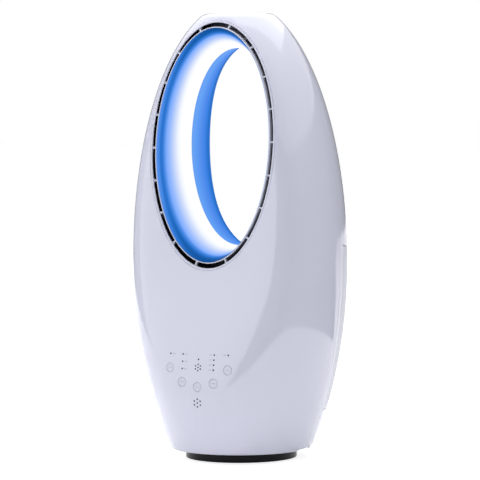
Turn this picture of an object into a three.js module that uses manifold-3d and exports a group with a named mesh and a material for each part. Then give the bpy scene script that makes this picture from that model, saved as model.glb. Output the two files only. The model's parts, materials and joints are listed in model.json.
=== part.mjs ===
// Bladeless fan: an egg-shaped tower with an oval opening, standing on a round swivel base.
// Millimetres. +Z is up, the front looks along -Y, and +X is to the right of someone facing the front.
// The origin is the centre of the underside, on the axis about which the tower swivels.
import * as THREE from 'three';
import { mergeVertices } from 'three/addons/utils/BufferGeometryUtils.js';
import Module from 'manifold-3d';

const wasm = await Module();
wasm.setup();

// ---- driving dimensions -------------------------------------------------------------------------
const gap = 0.3;                    // clearance between two pieces that touch
const wall = 2.6;                   // moulded wall of the two shells

// outer form: an egg of revolution, sliced by a leaning front and a leaning back
const towerTop = 590;
const shellBottom = 13;
const eggRadius = 143;
const eggCentreZ = 268.7;           // height where the egg is widest
const topRadius = 45.6;             // egg's radius at the flat top
const bottomRadius = 93.9;          // and at the shell's lowest edge
const creaseSharpness = 12;         // how tightly the flat faces turn into the round sides
const bendZ = 245;                  // height where the lean of the faces changes
const bendDepth = 88.3;             // distance of a face from the axis at that height
const bendWidth = 30;
const upperLean = 0.08;
const lowerLean = 0.218;
const topEdge = 5;                  // rounding round the flat top
const bottomEdge = 1.2;
const seamY = 18;                   // plane where the front and rear shells meet

// oval opening
const ovalTopMargin = 10.7;         // from the air slot's upper end to the flat top
const ovalBottomZ = 257.5;
const slotSideMargin = 51.5;        // from the slot's outer edge to the egg's widest side
const slotInset = { x: 5.1, z: 6.6 };    // the front light's lip, in from the slot's outer edge
const throatInset = { x: 19.5, z: 30.1, lower: 4.8 };   // its centre lies lower by this
const throatY = -3;
const rearInset = { x: 3.5, z: 17.1, lower: 9, taper: 0.08, fullness: 0.18 };
const lipRecess = 1.5;              // the light ring's lip lies this far behind the front face
const lightWall = 2;
const flareCurve = 1.4;
const ribCount = 18;
const ribWidth = 2;
const ribDepth = 5;
const ribRecess = 2.2;
const lipBand = 1.4;                // white band round the lip, inside the slot
const carrierWall = 2;
const carrierClearance = 9;         // from the throat's light ring to the carrier behind it
const stripWidth = 10;
const linerWall = 1.5;
const linerDepth = 18;

// round base
const baseRadius = 74;
const baseTop = 12;
const baseWall = 2.2;
const baseEdge = 1.2;
const baseLift = 1;                 // the cover's rim hangs this far above the table
const footMargin = 8;               // from the base's edge to the rubber foot
const footWidth = 14;
const footHeight = 3;
const plateThickness = 3.7;
const coverClearance = 2;           // round the hub's flange
const hubFlangeRadius = 29;
const hubFlangeThickness = 2.7;
const hubRadius = 18;
const hubBore = 12;
const hubShoulderZ = 29;
const spigotRadius = 15;
const spigotTop = 38;
const glideMargin = 6;
const glideWidth = 8;

// swivel drive
const gearModule = 2;
const fixedTeeth = 36;
const pinionTeeth = 9;
const gearThickness = 6;
const lockRingRadius = 22;
const pinionShaftRadius = 2.5;
const swivelMotorRadius = 25;
const swivelMotorHeight = 15;
const postSpread = 31;
const bridgeThickness = 2;

// body floor
const floorZ = 14;
const floorThickness = 3;
const bushWall = 3;
const bossWall = 4.4;
const pivotRadius = 5;              // stud under the pinion
const postRadius = 4.5;             // posts that carry the gear bridge
const postOverlap = 1;              // a post starts this far inside what it stands on
const motorEar = { half: 5, thickness: 2 };
const pinionStub = 9;               // length of the pinion's shaft inside the motor

// power board on the body floor
const powerMargin = 6.8;            // from the floor's edge
const powerLength = 68;
const powerWidth = 40;
const powerZ = 26;
const powerPostRadius = 3.5;
const powerPostInset = 6;
const transformer = { inset: 8, width: 18, y: [-16, 8], height: 14 };
const capacitor = { inset: 18, y: 20, radius: 5, height: 13 };

// blower
const housingRadius = 78.5;
const housingWall = 2.5;
const housingBottom = 85;
const deckZ = 215.3;
const deckThickness = 3;
const flangeClearance = 2;          // from the housing's flange to the shell's inner face
const blowerScrewMargin = 6.5;
const ledgeWidth = 4;               // the bellmouth stands on it
const ledgeHeight = 2.7;
const wheelRadius = 64;
const wheelEye = 44;
const wheelBottom = 105;
const wheelHeight = 38;
const wheelPlate = 2.2;
const wheelHub = { radius: 14, rise: 8 };
const wheelCone = [{ radius: 18, drop: 18 }, { radius: 30, drop: 6 }];
const bladeStart = 22;
const bladeCount = 7;
const bladeThickness = 1.6;
const bladeSweep = 0.85;
const shaftRadius = 4;
const nutRadius = 8;
const nutHeight = 5;
const motorRadius = 36;
const motorBottom = 152;
const motorHeight = 48;
const bearingRadius = 9;
const bearingHeight = 6;
const vaneCount = 7;
const vaneThickness = 1.6;
const diffuserWall = 2;
const diffuserBottom = 160;
const diffuserHeight = 30;
const damperWall = 2.4;
const damperHeight = 20;

// rear air intake
const grilleAngle = THREE.MathUtils.degToRad(11.5);  // the panel starts this far behind the X axis
const grilleBottom = 65;
const grilleSideTop = 285;
const grilleRearTop = 232;
const grilleSlots = 18;
const slotRows = 2;
const slotBottom = 78;
const slotTop = 205;
const slotBar = 7;
const filterThickness = 1.2;

// control panel on the lower front
const keyRadius = 6;
const keyDepth = 4.6;
const keyFlange = 1;
const keyStem = 1.8;
const keyTravel = 0.8;
const keyArcRadius = 52;
const keyArcBottomZ = 104;
const keyAngles = [-57, -27, 0, 27, 57];
const keyNames = ['light_key', 'mode_key', 'power_key', 'timer_key', 'swing_key'];
const panelZ = 115;                 // the panel's axis crosses the front face at this height
const boardClearance = 1.2;         // from the deepest key's brim to the board
const boardHalfWidth = 50;
const boardLow = -16;
const boardHigh = 38;
const boardThickness = 1.6;
const boardScrewX = 45;
const boardScrewInset = 5;
const boardPostRadius = 3.2;
const boardScrew = { length: 7, head: 3, radius: 1.2, hole: 1.8, pilot: 1.5 };
const switchHalf = 3;
const switchHeight = 1.9;
const guideZ = 143;
const guideHalfWidth = 40;
const guideHalfHeight = 5;
const guideThickness = 2.2;
const soundHoleZ = 83;
const soundHoleCircle = 5;
const soundHoleRadius = 1;
const buzzerRadius = 7;
const buzzerHeight = 6;

// shell screws and power socket
const lowScrew = { inward: 17.4, z: 45 };
const middleScrew = { inward: 19.7, rise: 72.5 };   // above the oval's lower end
const highScrew = { inward: 14.4, drop: 73 };       // below the flat top
const screwRadius = 2;
const screwHeadRadius = 4;
const screwHeadHeight = 2.5;
const bridgeScrewLength = 10;
const blowerScrewLength = 6;
const hubScrew = { length: 5, head: 3.4 };
const shellBoss = 5.6;
const screwHeadY = 36;
const screwTipY = -4;
const socketRadius = 7;
const socketZ = 36;
const socketLength = 22;
const socketBore = 3.6;
const socketPinRadius = 1;

// facets
const bodyFacets = 40;
const bodyLevels = 16;
const innerFacets = 28;
const innerLevels = 13;
const keyFacets = 16;
const ductFacets = 24;
const motorFacets = 20;
const ovalFacets = 36;
const roundFacets = 24;
const smallFacets = 8;

// ---- materials ----------------------------------------------------------------------------------
function material(color, roughness, metalness = 0, more = {}) {
  return new THREE.MeshStandardMaterial({ color, roughness, metalness, ...more });
}
const glossWhite = material(0xe9eaf2, 0.22);
const grilleWhite = material(0xdfe0e8, 0.4);
const keyWhite = material(0xe4e5ee, 0.3);
const lightDiffuser = material(0x8fc0ff, 0.35, 0, { emissive: 0x2f7fe0 });
const matteBlack = material(0x141416, 0.6);
const rubber = material(0x1b1b1d, 0.9);
const steel = material(0xa9adb2, 0.35, 0.9);
const brass = material(0xb59a55, 0.4, 0.8);
const nylon = material(0xe8e3d4, 0.55);
const greyPlastic = material(0x8d9299, 0.55);
const circuitGreen = material(0x1f5a3a, 0.5);
const filterGrey = material(0x55585e, 0.9);

// ---- geometry helpers ---------------------------------------------------------------------------
function spread(low, high, steps) {
  return Array.from({ length: steps + 1 }, (_, i) => low + ((high - low) * i) / steps);
}

function signedVolume(geometry) {
  const points = geometry.getAttribute('position');
  const order = geometry.index.array;
  const a = new THREE.Vector3();
  const b = new THREE.Vector3();
  const c = new THREE.Vector3();
  let sum = 0;
  for (let i = 0; i < order.length; i += 3) {
    a.fromBufferAttribute(points, order[i]);
    b.fromBufferAttribute(points, order[i + 1]);
    c.fromBufferAttribute(points, order[i + 2]);
    sum += a.dot(b.cross(c));
  }
  return sum;
}

// one closed skin with shared corners and its faces pointing out
function closed(geometry) {
  const plain = geometry.clone();
  plain.deleteAttribute('normal');
  plain.deleteAttribute('uv');
  const merged = mergeVertices(plain, 1e-4);
  const kept = [];
  const order = merged.index.array;
  for (let i = 0; i < order.length; i += 3) {
    const [a, b, c] = [order[i], order[i + 1], order[i + 2]];
    if (a !== b && b !== c && a !== c) {
      kept.push(a, b, c);
    }
  }
  merged.setIndex(kept);
  if (signedVolume(merged) < 0) {
    merged.setIndex(kept.reverse());
  }
  return merged;
}

function solid(geometry) {
  const skin = closed(geometry);
  const vertProperties = new Float32Array(skin.getAttribute('position').array);
  const triVerts = new Uint32Array(skin.index.array);
  return new wasm.Manifold(new wasm.Mesh({ numProp: 3, vertProperties, triVerts }));
}

function toGeometry(manifold) {
  const mesh = manifold.getMesh();
  const geometry = new THREE.BufferGeometry();
  geometry.setAttribute('position', new THREE.BufferAttribute(mesh.vertProperties, 3));
  geometry.setIndex(new THREE.BufferAttribute(mesh.triVerts, 1));
  return geometry;
}

// closed profile of [radius, height] pairs, turned about Z
function turned(profile, facets = roundFacets) {
  const points = profile.map(([radius, height]) => new THREE.Vector2(radius, height));
  points.push(points[0].clone());
  return closed(new THREE.LatheGeometry(points, facets).rotateX(Math.PI / 2));
}

function tube(inner, outer, low, high, facets = roundFacets) {
  return turned([[inner, low], [outer, low], [outer, high], [inner, high]], facets);
}

function rod(radius, low, high, facets = smallFacets) {
  const geometry = new THREE.CylinderGeometry(radius, radius, high - low, facets);
  return closed(geometry.rotateX(Math.PI / 2).translate(0, 0, (low + high) / 2));
}

function block(low, high) {
  const size = high.map((value, i) => value - low[i]);
  const centre = high.map((value, i) => (value + low[i]) / 2);
  return closed(new THREE.BoxGeometry(...size).translate(...centre));
}

// flat outline of Vector2 points, with holes, raised from low to high
function raised(outline, low, high, holes = []) {
  const shape = new THREE.Shape(outline);
  shape.holes = holes.map((hole) => new THREE.Path(hole));
  const options = { depth: high - low, bevelEnabled: false, curveSegments: roundFacets };
  return closed(new THREE.ExtrudeGeometry(shape, options).translate(0, 0, low));
}

function circle(radius, x = 0, y = 0, facets = smallFacets) {
  const at = (i) => (2 * Math.PI * i) / facets;
  const point = (i) => new THREE.Vector2(x + radius * Math.cos(at(i)), y + radius * Math.sin(at(i)));
  return Array.from({ length: facets }, (_, i) => point(i));
}

// skin through rings of points, capped at both ends or joined end to end
function loft(rings, looped = false) {
  const count = rings[0].length;
  const points = rings.flat();
  const index = [];
  const spans = looped ? rings.length : rings.length - 1;
  for (let i = 0; i < spans; i += 1) {
    const low = i * count;
    const high = ((i + 1) % rings.length) * count;
    for (let j = 0; j < count; j += 1) {
      const k = (j + 1) % count;
      index.push(low + j, low + k, high + k, low + j, high + k, high + j);
    }
  }
  if (!looped) {
    const centre = (ring) => ring.reduce((sum, p) => sum.add(p), new THREE.Vector3())
      .divideScalar(count);
    const last = (rings.length - 1) * count;
    points.push(centre(rings[0]), centre(rings[rings.length - 1]));
    for (let j = 0; j < count; j += 1) {
      const k = (j + 1) % count;
      index.push(k, j, points.length - 2, last + j, last + k, points.length - 1);
    }
  }
  const geometry = new THREE.BufferGeometry().setFromPoints(points);
  geometry.setIndex(index);
  return closed(geometry);
}

// ---- the outer form -----------------------------------------------------------------------------
// an egg whose upper and lower halves have heights of their own
function halfHeight(height, radius) {
  return height / Math.sqrt(1 - (radius / eggRadius) ** 2);
}
const upperHeight = halfHeight(towerTop - eggCentreZ, topRadius);
const lowerHeight = halfHeight(eggCentreZ - shellBottom, bottomRadius);

function eggSection(z, inset) {
  const share = (z - eggCentreZ) / ((z > eggCentreZ ? upperHeight : lowerHeight) - inset);
  return (eggRadius - inset) * Math.sqrt(Math.max(1e-6, 1 - share * share));
}

function faceDepth(z, inset) {
  const below = bendZ - z;
  const softened = (below + Math.hypot(below, bendWidth)) / 2;
  return bendDepth + upperLean * below + (lowerLean - upperLean) * softened - inset;
}

// distance of the surface from the axis, angle measured from +X towards +Y
function sectionRadius(angle, z, inset) {
  const round = eggSection(z, inset) ** -creaseSharpness;
  const flat = (Math.abs(Math.sin(angle)) / faceDepth(z, inset)) ** creaseSharpness;
  return (round + flat) ** (-1 / creaseSharpness);
}

// distance of the surface from the XZ plane above a point of that plane
function surfaceDepth(x, z, inset = 0) {
  const round = eggSection(z, inset);
  const flat = faceDepth(z, inset);
  let near = 0;
  let far = flat;
  for (let i = 0; i < 40; i += 1) {
    const y = (near + far) / 2;
    const level = (Math.hypot(x, y) / round) ** creaseSharpness + (y / flat) ** creaseSharpness;
    [near, far] = level < 1 ? [y, far] : [near, y];
  }
  return near;
}

// the oval opening's rings, each in from the slot's outer edge; lower is how far a ring's centre
// lies below the slot's, taper narrows it towards its top, and fullness widens it near both ends
const ovalTopZ = towerTop - ovalTopMargin;
const ovalCentreZ = (ovalTopZ + ovalBottomZ) / 2;
const slotOuter = { x: eggRadius - slotSideMargin, z: (ovalTopZ - ovalBottomZ) / 2 };
const insetBy = ({ x, z, ...shape }) => ({ x: slotOuter.x - x, z: slotOuter.z - z, ...shape });
const slotInner = insetBy(slotInset);
const throat = insetBy(throatInset);
const rearRim = insetBy(rearInset);

function formRing(z, inset, facets, edgeInset = 0) {
  return Array.from({ length: facets }, (_, j) => {
    const angle = (2 * Math.PI * j) / facets;
    const radius = sectionRadius(angle, z, inset) - edgeInset;
    return new THREE.Vector3(radius * Math.cos(angle), radius * Math.sin(angle), z);
  });
}

// rings up the egg, drawn in by an inset, closer together towards the top and rounded over there
function formRings(inset, low, facets, levels) {
  const top = towerTop - inset;
  const edge = topEdge - inset / 2;
  const rings = spread(0, 1, levels).map((step) => {
    const share = 1 - (1 - step) ** 1.3;
    return formRing(low + (top - edge - low) * share, inset, facets);
  });
  for (const degrees of [35, 62, 90]) {
    const turn = THREE.MathUtils.degToRad(degrees);
    const drop = edge * (1 - Math.sin(turn));
    rings.push(formRing(top - drop, inset, facets, edge * (1 - Math.cos(turn))));
  }
  return rings;
}

function outside() {
  const bottom = formRing(shellBottom, 0, bodyFacets, bottomEdge);
  return solid(loft([bottom, ...formRings(0, shellBottom + bottomEdge, bodyFacets, bodyLevels)]));
}

// coarser than the outside: its corners lie on the true inner face, so no wall is ever too thin
function inside(inset) {
  return solid(loft(formRings(inset, shellBottom - 5, innerFacets, innerLevels)));
}

// oval ring of points; depthAt gives y from x and z
function oval(size, depthAt) {
  const { lower = 0, taper = 0, fullness = 0 } = size;
  return Array.from({ length: ovalFacets }, (_, j) => {
    const angle = (2 * Math.PI * j) / ovalFacets;
    const rise = Math.sin(angle);
    const x = size.x * Math.cos(angle) * (1 - taper * rise + fullness * rise ** 2);
    const z = ovalCentreZ - lower + size.z * rise;
    return new THREE.Vector3(x, depthAt(x, z), z);
  });
}

function grown(size, amount) {
  return { ...size, x: size.x + amount, z: size.z + amount };
}

function ovalPrism(size, front, back) {
  return solid(loft([oval(size, () => front), oval(size, () => back)]));
}

const frontY = (behind) => (x, z) => behind - surfaceDepth(x, z);
const rearY = (before) => (x, z) => surfaceDepth(x, z) - before;

// ring of points part of the way from one ring to another, drawn in early by the flare's curve
function between(start, end, share) {
  const inward = 1 - (1 - share) ** flareCurve;
  return start.map((point, j) => new THREE.Vector3(
    THREE.MathUtils.lerp(point.x, end[j].x, inward),
    THREE.MathUtils.lerp(point.y, end[j].y, share),
    THREE.MathUtils.lerp(point.z, end[j].z, inward),
  ));
}

function flare(start, end, steps) {
  return Array.from({ length: steps + 1 }, (_, i) => between(start, end, i / steps));
}

// ---- shells -------------------------------------------------------------------------------------
const outerForm = outside();
const skin = outerForm.subtract(inside(wall));
const cavity = inside(wall + 2 * gap);
const far = 400;

function alongY(radius, x, z, front, back, facets = smallFacets) {
  const pin = new THREE.CylinderGeometry(radius, radius, back - front, facets);
  return solid(pin.translate(x, (front + back) / 2, z));
}

function bothSides(list) {
  return list.flatMap(([x, z]) => [[-x, z], [x, z]]);
}

const screwHeights = [lowScrew.z, ovalBottomZ + middleScrew.rise, towerTop - highScrew.drop];
const shellScrews = [lowScrew, middleScrew, highScrew].map(({ inward }, i) => (
  [eggSection(screwHeights[i], 0) - inward, screwHeights[i]]
));

// the panel's frame: z axis runs inwards, square to the front face at the panel's height
const slope = (surfaceDepth(0, panelZ - 1) - surfaceDepth(0, panelZ + 1)) / 2;
const panelTilt = Math.atan(slope);
const panelFrame = new THREE.Matrix4().makeRotationX(-Math.PI / 2 - panelTilt)
  .setPosition(0, -surfaceDepth(0, panelZ), panelZ);

function onPanel(geometry, x, w) {
  return geometry.translate(x, -w, 0).applyMatrix4(panelFrame);
}

// how far up the panel a point of the face lies, from its height
function panelW(z) {
  return (z - panelZ) / Math.cos(panelTilt);
}

// how deep below the panel's plane the shell's surface lies there
function panelSink(x, w) {
  let low = -20;
  let high = 20;
  for (let i = 0; i < 40; i += 1) {
    const depth = (low + high) / 2;
    const point = new THREE.Vector3(x, -w, depth).applyMatrix4(panelFrame);
    [low, high] = -point.y > surfaceDepth(point.x, point.z) ? [depth, high] : [low, depth];
  }
  return low;
}

const keyPlaces = keyAngles.map((degrees) => {
  const angle = THREE.MathUtils.degToRad(degrees);
  const z = keyArcBottomZ + keyArcRadius * (1 - Math.cos(angle));
  return [keyArcRadius * Math.sin(angle), panelW(z)];
});

// the board lies behind the brim of the key that sits deepest
const keyRest = keyDepth + keyFlange;
const deepestKey = Math.max(...keyPlaces.map(([x, w]) => panelSink(x, w)));
const boardDepth = deepestKey + keyRest + keyTravel + switchHeight + boardClearance;

// flat mount for the board: round posts that start inside the shell's wall
const boardPosts = bothSides([boardHigh - boardScrewInset, boardLow + boardScrewInset]
  .map((w) => [boardScrewX, w]));

function frontShell() {
  const frontHalf = solid(block([-far, -far, -10], [far, seamY - gap / 2, towerTop + 10]));
  let shell = skin.intersect(frontHalf);
  for (const [x, z] of bothSides(shellScrews)) {
    const boss = alongY(shellBoss, x, z, -far / 4, seamY - gap / 2);
    shell = shell.add(boss.intersect(outerForm).intersect(frontHalf));
  }
  for (const [x, w] of boardPosts) {
    const post = solid(onPanel(rod(boardPostRadius, wall / 5, boardDepth - gap), x, w));
    shell = shell.add(post.intersect(outerForm));
  }
  shell = shell.subtract(ovalPrism(slotOuter, -far, 0));
  for (const [x, z] of bothSides(shellScrews)) {
    shell = shell.subtract(alongY(screwRadius + gap, x, z, screwTipY - 2, seamY + 1));
  }
  for (const [x, w] of boardPosts) {
    const pilot = rod(boardScrew.pilot, boardDepth - boardScrew.length - 1, boardDepth);
    shell = shell.subtract(solid(onPanel(pilot, x, w)));
  }
  for (const [x, w] of keyPlaces) {
    const sink = panelSink(x, w);
    const hole = rod(keyRadius + gap, sink - 5, sink + 2 * keyDepth, keyFacets);
    shell = shell.subtract(solid(onPanel(hole, x, w)));
  }
  for (const [x, z] of soundHoles()) {
    shell = shell.subtract(alongY(soundHoleRadius, x, z, -far / 2, -surfaceDepth(0, z) + 8));
  }
  return shell;
}

function soundHoles() {
  const ring = Array.from({ length: 6 }, (_, i) => (i * Math.PI) / 3);
  const around = ring.map((a) => [soundHoleCircle * Math.sin(a), soundHoleCircle * Math.cos(a)]);
  return [[0, 0], ...around].map(([x, z]) => [x, soundHoleZ + z]);
}

// height of the grille's top edge: high at the sides, lower at the back
function grilleTop(angle) {
  const turn = (angle - grilleAngle) / (Math.PI - 2 * grilleAngle);
  return grilleSideTop - (grilleSideTop - grilleRearTop) * Math.sin(Math.PI * turn) ** 1.5;
}

// a panel that follows the form: columns of angles, rows of heights, and a test for open cells
function wrapped(angles, heights, outerAt, innerAt, isOpen = () => false) {
  const rows = heights(angles[0]).length;
  const columns = angles.length;
  const points = [];
  for (const radiusAt of [outerAt, innerAt]) {
    for (const angle of angles) {
      for (const z of heights(angle)) {
        const radius = radiusAt(angle, z);
        points.push(new THREE.Vector3(radius * Math.cos(angle), radius * Math.sin(angle), z));
      }
    }
  }
  const index = [];
  const at = (side, column, row) => side * columns * rows + column * rows + row;
  const solidCell = (column, row) => column >= 0 && row >= 0 && column < columns - 1
    && row < rows - 1 && !isOpen(column, row);
  const quad = (a, b, c, d) => index.push(a, b, c, a, c, d);
  const side = (from, to) => quad(at(0, ...from), at(1, ...from), at(1, ...to), at(0, ...to));
  for (let c = 0; c < columns - 1; c += 1) {
    for (let r = 0; r < rows - 1; r += 1) {
      if (solidCell(c, r)) {
        quad(at(0, c, r), at(0, c + 1, r), at(0, c + 1, r + 1), at(0, c, r + 1));
        quad(at(1, c, r), at(1, c, r + 1), at(1, c + 1, r + 1), at(1, c + 1, r));
        if (!solidCell(c, r - 1)) side([c, r], [c + 1, r]);
        if (!solidCell(c + 1, r)) side([c + 1, r], [c + 1, r + 1]);
        if (!solidCell(c, r + 1)) side([c + 1, r + 1], [c, r + 1]);
        if (!solidCell(c - 1, r)) side([c, r + 1], [c, r]);
      }
    }
  }
  const used = [...new Set(index)];
  const renumbered = new Map(used.map((old, i) => [old, i]));
  const geometry = new THREE.BufferGeometry().setFromPoints(used.map((i) => points[i]));
  geometry.setIndex(index.map((i) => renumbered.get(i)));
  return closed(geometry);
}

// columns of the panel: two borders with the slots and the bars between them
function grilleColumns(margin) {
  const border = THREE.MathUtils.degToRad(5);
  const pitch = (Math.PI - 2 * grilleAngle - 2 * border) / grilleSlots;
  const edges = Array.from({ length: grilleSlots }, (_, i) => grilleAngle + border + pitch * i);
  const inner = edges.flatMap((edge) => [edge + pitch / 6, edge + (5 * pitch) / 6]);
  return [grilleAngle + margin, ...inner, Math.PI - grilleAngle - margin];
}

function intakeWindow() {
  const heights = (angle) => spread(grilleBottom, grilleTop(angle), 5);
  const outerAt = (angle, z) => sectionRadius(angle, z, -3 * wall);
  const innerAt = (angle, z) => sectionRadius(angle, z, 4 * wall);
  return solid(wrapped(grilleColumns(0), heights, outerAt, innerAt));
}

// each slot column is two thirds of a pitch wide, and rows of slots are parted by level bars
function intakeGrille() {
  const angles = grilleColumns(gap / (eggRadius - 2 * wall));
  const slotHeight = (slotTop - slotBottom - slotBar * (slotRows - 1)) / slotRows;
  const rowStarts = Array.from({ length: slotRows }, (_, i) => slotBottom + i * (slotHeight + slotBar));
  const slotEdges = rowStarts.flatMap((z) => [z, z + slotHeight]);
  const heights = (angle) => {
    const top = grilleTop(angle) - 2 * gap;
    return [grilleBottom + gap, ...slotEdges, (slotTop + top) / 2, top];
  };
  const isOpen = (column, row) => column % 2 === 1 && row % 2 === 1 && row < 2 * slotRows;
  const outerAt = (angle, z) => sectionRadius(angle, z, 0);
  const innerAt = (angle, z) => sectionRadius(angle, z, wall);
  return wrapped(angles, heights, outerAt, innerAt, isOpen);
}

function filterMesh() {
  const angles = spread(grilleAngle + 0.04, Math.PI - grilleAngle - 0.04, 18);
  const heights = () => spread(slotBottom - 5, slotTop + 4, 2);
  const outerAt = (angle, z) => sectionRadius(angle, z, wall + 3 * gap);
  const innerAt = (angle, z) => sectionRadius(angle, z, wall + 3 * gap + filterThickness);
  return wrapped(angles, heights, outerAt, innerAt);
}

function rearShell() {
  const rearHalf = solid(block([-far, seamY + gap / 2, -10], [far, far, towerTop + 10]));
  let shell = skin.intersect(rearHalf);
  for (const [x, z] of bothSides(shellScrews)) {
    const boss = alongY(shellBoss, x, z, seamY + gap / 2, far / 2);
    shell = shell.add(boss.intersect(outerForm));
  }
  shell = shell.subtract(ovalPrism(grown(rearRim, gap), 0, far));
  shell = shell.subtract(intakeWindow());
  for (const [x, z] of bothSides(shellScrews)) {
    shell = shell.subtract(alongY(screwRadius + gap, x, z, seamY - 1, screwHeadY + 1));
    shell = shell.subtract(alongY(screwHeadRadius + gap, x, z, screwHeadY - gap, far));
  }
  return shell.subtract(alongY(socketRadius + gap, 0, socketZ, 0, far, 20));
}

// ---- oval opening -------------------------------------------------------------------------------
const throatRing = (amount, y) => oval(grown(throat, amount), () => y);

function frontLightRing() {
  const lip = oval(slotInner, frontY(lipRecess));
  const backLip = oval(grown(slotInner, -0.4), frontY(lipRecess + lightWall));
  const inside = flare(lip, throatRing(0, throatY - gap / 2), 4);
  const outside = flare(backLip, throatRing(lightWall, throatY - gap / 2), 3);
  return loft([...inside, ...outside.reverse()], true);
}

function rearLightRing() {
  const rim = oval(rearRim, rearY(lipRecess));
  const backRim = oval(grown(rearRim, -0.4), rearY(lipRecess + lightWall));
  const inside = flare(rim, throatRing(0, throatY + gap / 2), 3);
  const outside = flare(backRim, throatRing(lightWall, throatY + gap / 2), 2);
  return loft([...inside, ...outside.reverse()], true);
}

// ring that follows the flare from an edge to the throat, standing off by a clearance that grows
function standOff(edge, edgeY, share, less) {
  const amount = lipBand + (carrierClearance - lipBand) * share ** 0.7 - less;
  return between(oval(grown(edge, amount), edgeY), throatRing(amount, throatY), share);
}

// the dark ring that carries the lights and forms the inner wall of the air slot
function lightCarrier() {
  const side = (less) => [
    ...[0.13, 0.6, 1].map((share) => standOff(slotInner, frontY(lipRecess), share, less)),
    ...[0.5, 0.1].map((share) => standOff(rearRim, rearY(lipRecess), share, less)),
  ];
  return loft([...side(0), ...side(carrierWall).reverse()], true);
}

function lightStrip() {
  const size = grown(throat, carrierClearance - carrierWall - 3 * gap);
  const half = stripWidth / 2;
  const rings = [[0, -half], [0, half], [-1, half], [-1, -half]];
  return loft(rings.map(([amount, y]) => oval(grown(size, amount), () => throatY + y)), true);
}

// white band round the lip with thin ribs that reach across the slot
function outletSpacer() {
  const bandInner = grown(slotInner, gap);
  const bandOuter = grown(slotInner, lipBand);
  const rings = [
    oval(bandInner, frontY(lipRecess)),
    oval(bandOuter, frontY(lipRecess)),
    oval(bandOuter, frontY(lipRecess + ribDepth)),
    oval(bandInner, frontY(lipRecess + ribDepth)),
  ];
  let spacer = solid(loft(rings, true));
  const start = grown(slotInner, lipBand / 2);
  for (const angle of ribAngles(start)) {
    const x = start.x * Math.cos(angle);
    const z = start.z * Math.sin(angle);
    const outward = new THREE.Vector2(Math.cos(angle) / start.x, Math.sin(angle) / start.z).normalize();
    const reach = slotWidth(angle);
    const front = -surfaceDepth(x, ovalCentreZ + z);
    const rib = new THREE.BoxGeometry(reach, ribDepth - (ribRecess - lipRecess), ribWidth);
    rib.translate(reach / 2, front + ribRecess + (ribDepth - (ribRecess - lipRecess)) / 2, 0);
    rib.rotateY(-Math.atan2(outward.y, outward.x)).translate(x, 0, ovalCentreZ + z);
    spacer = spacer.add(solid(rib));
  }
  return spacer.subtract(solid(ovalCollar(grown(slotOuter, -gap), grown(slotOuter, far))));
}

function ovalCollar(inner, outer) {
  const rings = [[inner, -far], [outer, -far], [outer, far], [inner, far]];
  return loft(rings.map(([size, y]) => oval(size, () => y)), true);
}

function slotWidth(angle) {
  const start = grown(slotInner, lipBand / 2);
  const near = Math.hypot(start.x * Math.cos(angle), start.z * Math.sin(angle));
  const far2 = Math.hypot(slotOuter.x * Math.cos(angle), slotOuter.z * Math.sin(angle));
  return far2 - near + 3;
}

// angles of the ribs, at equal arc lengths round the oval, with a gap at the top
function ribAngles(size) {
  const steps = 3600;
  const point = (i) => {
    const angle = Math.PI / 2 + (2 * Math.PI * i) / steps;
    return new THREE.Vector2(size.x * Math.cos(angle), size.z * Math.sin(angle));
  };
  const travelled = [0];
  for (let i = 1; i <= steps; i += 1) {
    travelled.push(travelled[i - 1] + point(i).distanceTo(point(i - 1)));
  }
  const perimeter = travelled[steps];
  return Array.from({ length: ribCount }, (_, k) => {
    const target = ((k + 0.5) * perimeter) / ribCount;
    const i = travelled.findIndex((length) => length >= target);
    return Math.PI / 2 + (2 * Math.PI * i) / steps;
  });
}

// dark outer wall of the air slot, behind the edge of the front shell
function nozzleLiner() {
  const near = grown(slotOuter, gap);
  const behind = frontY(wall + 2);
  const back = frontY(wall + 2 + linerDepth);
  const rings = [
    oval(near, behind),
    oval(grown(near, linerWall), behind),
    oval(grown(near, linerWall + 1), back),
    oval(grown(near, 1), back),
  ];
  return solid(loft(rings, true)).intersect(cavity);
}

// ---- base ---------------------------------------------------------------------------------------
const plateBottom = footHeight + gap;
const plateTop = plateBottom + plateThickness;
const plateRadius = baseRadius - baseWall - gap;
const hubFlangeBottom = plateTop + gap;
const hubFlangeTop = hubFlangeBottom + hubFlangeThickness;
const gearBottom = hubShoulderZ + gap;
const gearTop = gearBottom + gearThickness;
const footOuter = baseRadius - footMargin;
const glideOuter = baseRadius - glideMargin;
const coverHole = hubFlangeRadius + coverClearance;
const hubScrewCircle = (hubRadius + hubFlangeRadius) / 2;
const hubScrewPlaces = [0, 1, 2].map((i) => {
  const angle = Math.PI / 2 + (2 * Math.PI * i) / 3;
  return [hubScrewCircle * Math.cos(angle), hubScrewCircle * Math.sin(angle)];
});

function drilled(body, places, radius, low, high) {
  let result = body;
  for (const [x, y] of places) {
    result = result.subtract(solid(rod(radius, low, high).translate(x, y, 0)));
  }
  return result;
}

function basePlate() {
  const plate = solid(turned([[0, plateBottom], [plateRadius, plateBottom],
    [plateRadius, plateTop], [0, plateTop]]));
  return drilled(plate, hubScrewPlaces, screwRadius + gap, plateBottom + 1, plateTop + 1);
}

function baseCover() {
  const under = baseTop - baseWall;
  const inner = baseRadius - baseWall;
  return turned([[inner, baseLift], [baseRadius, baseLift], [baseRadius, baseTop - baseEdge],
    [baseRadius - baseEdge, baseTop], [coverHole, baseTop], [coverHole, under], [inner, under]],
  bodyFacets);
}

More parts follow.
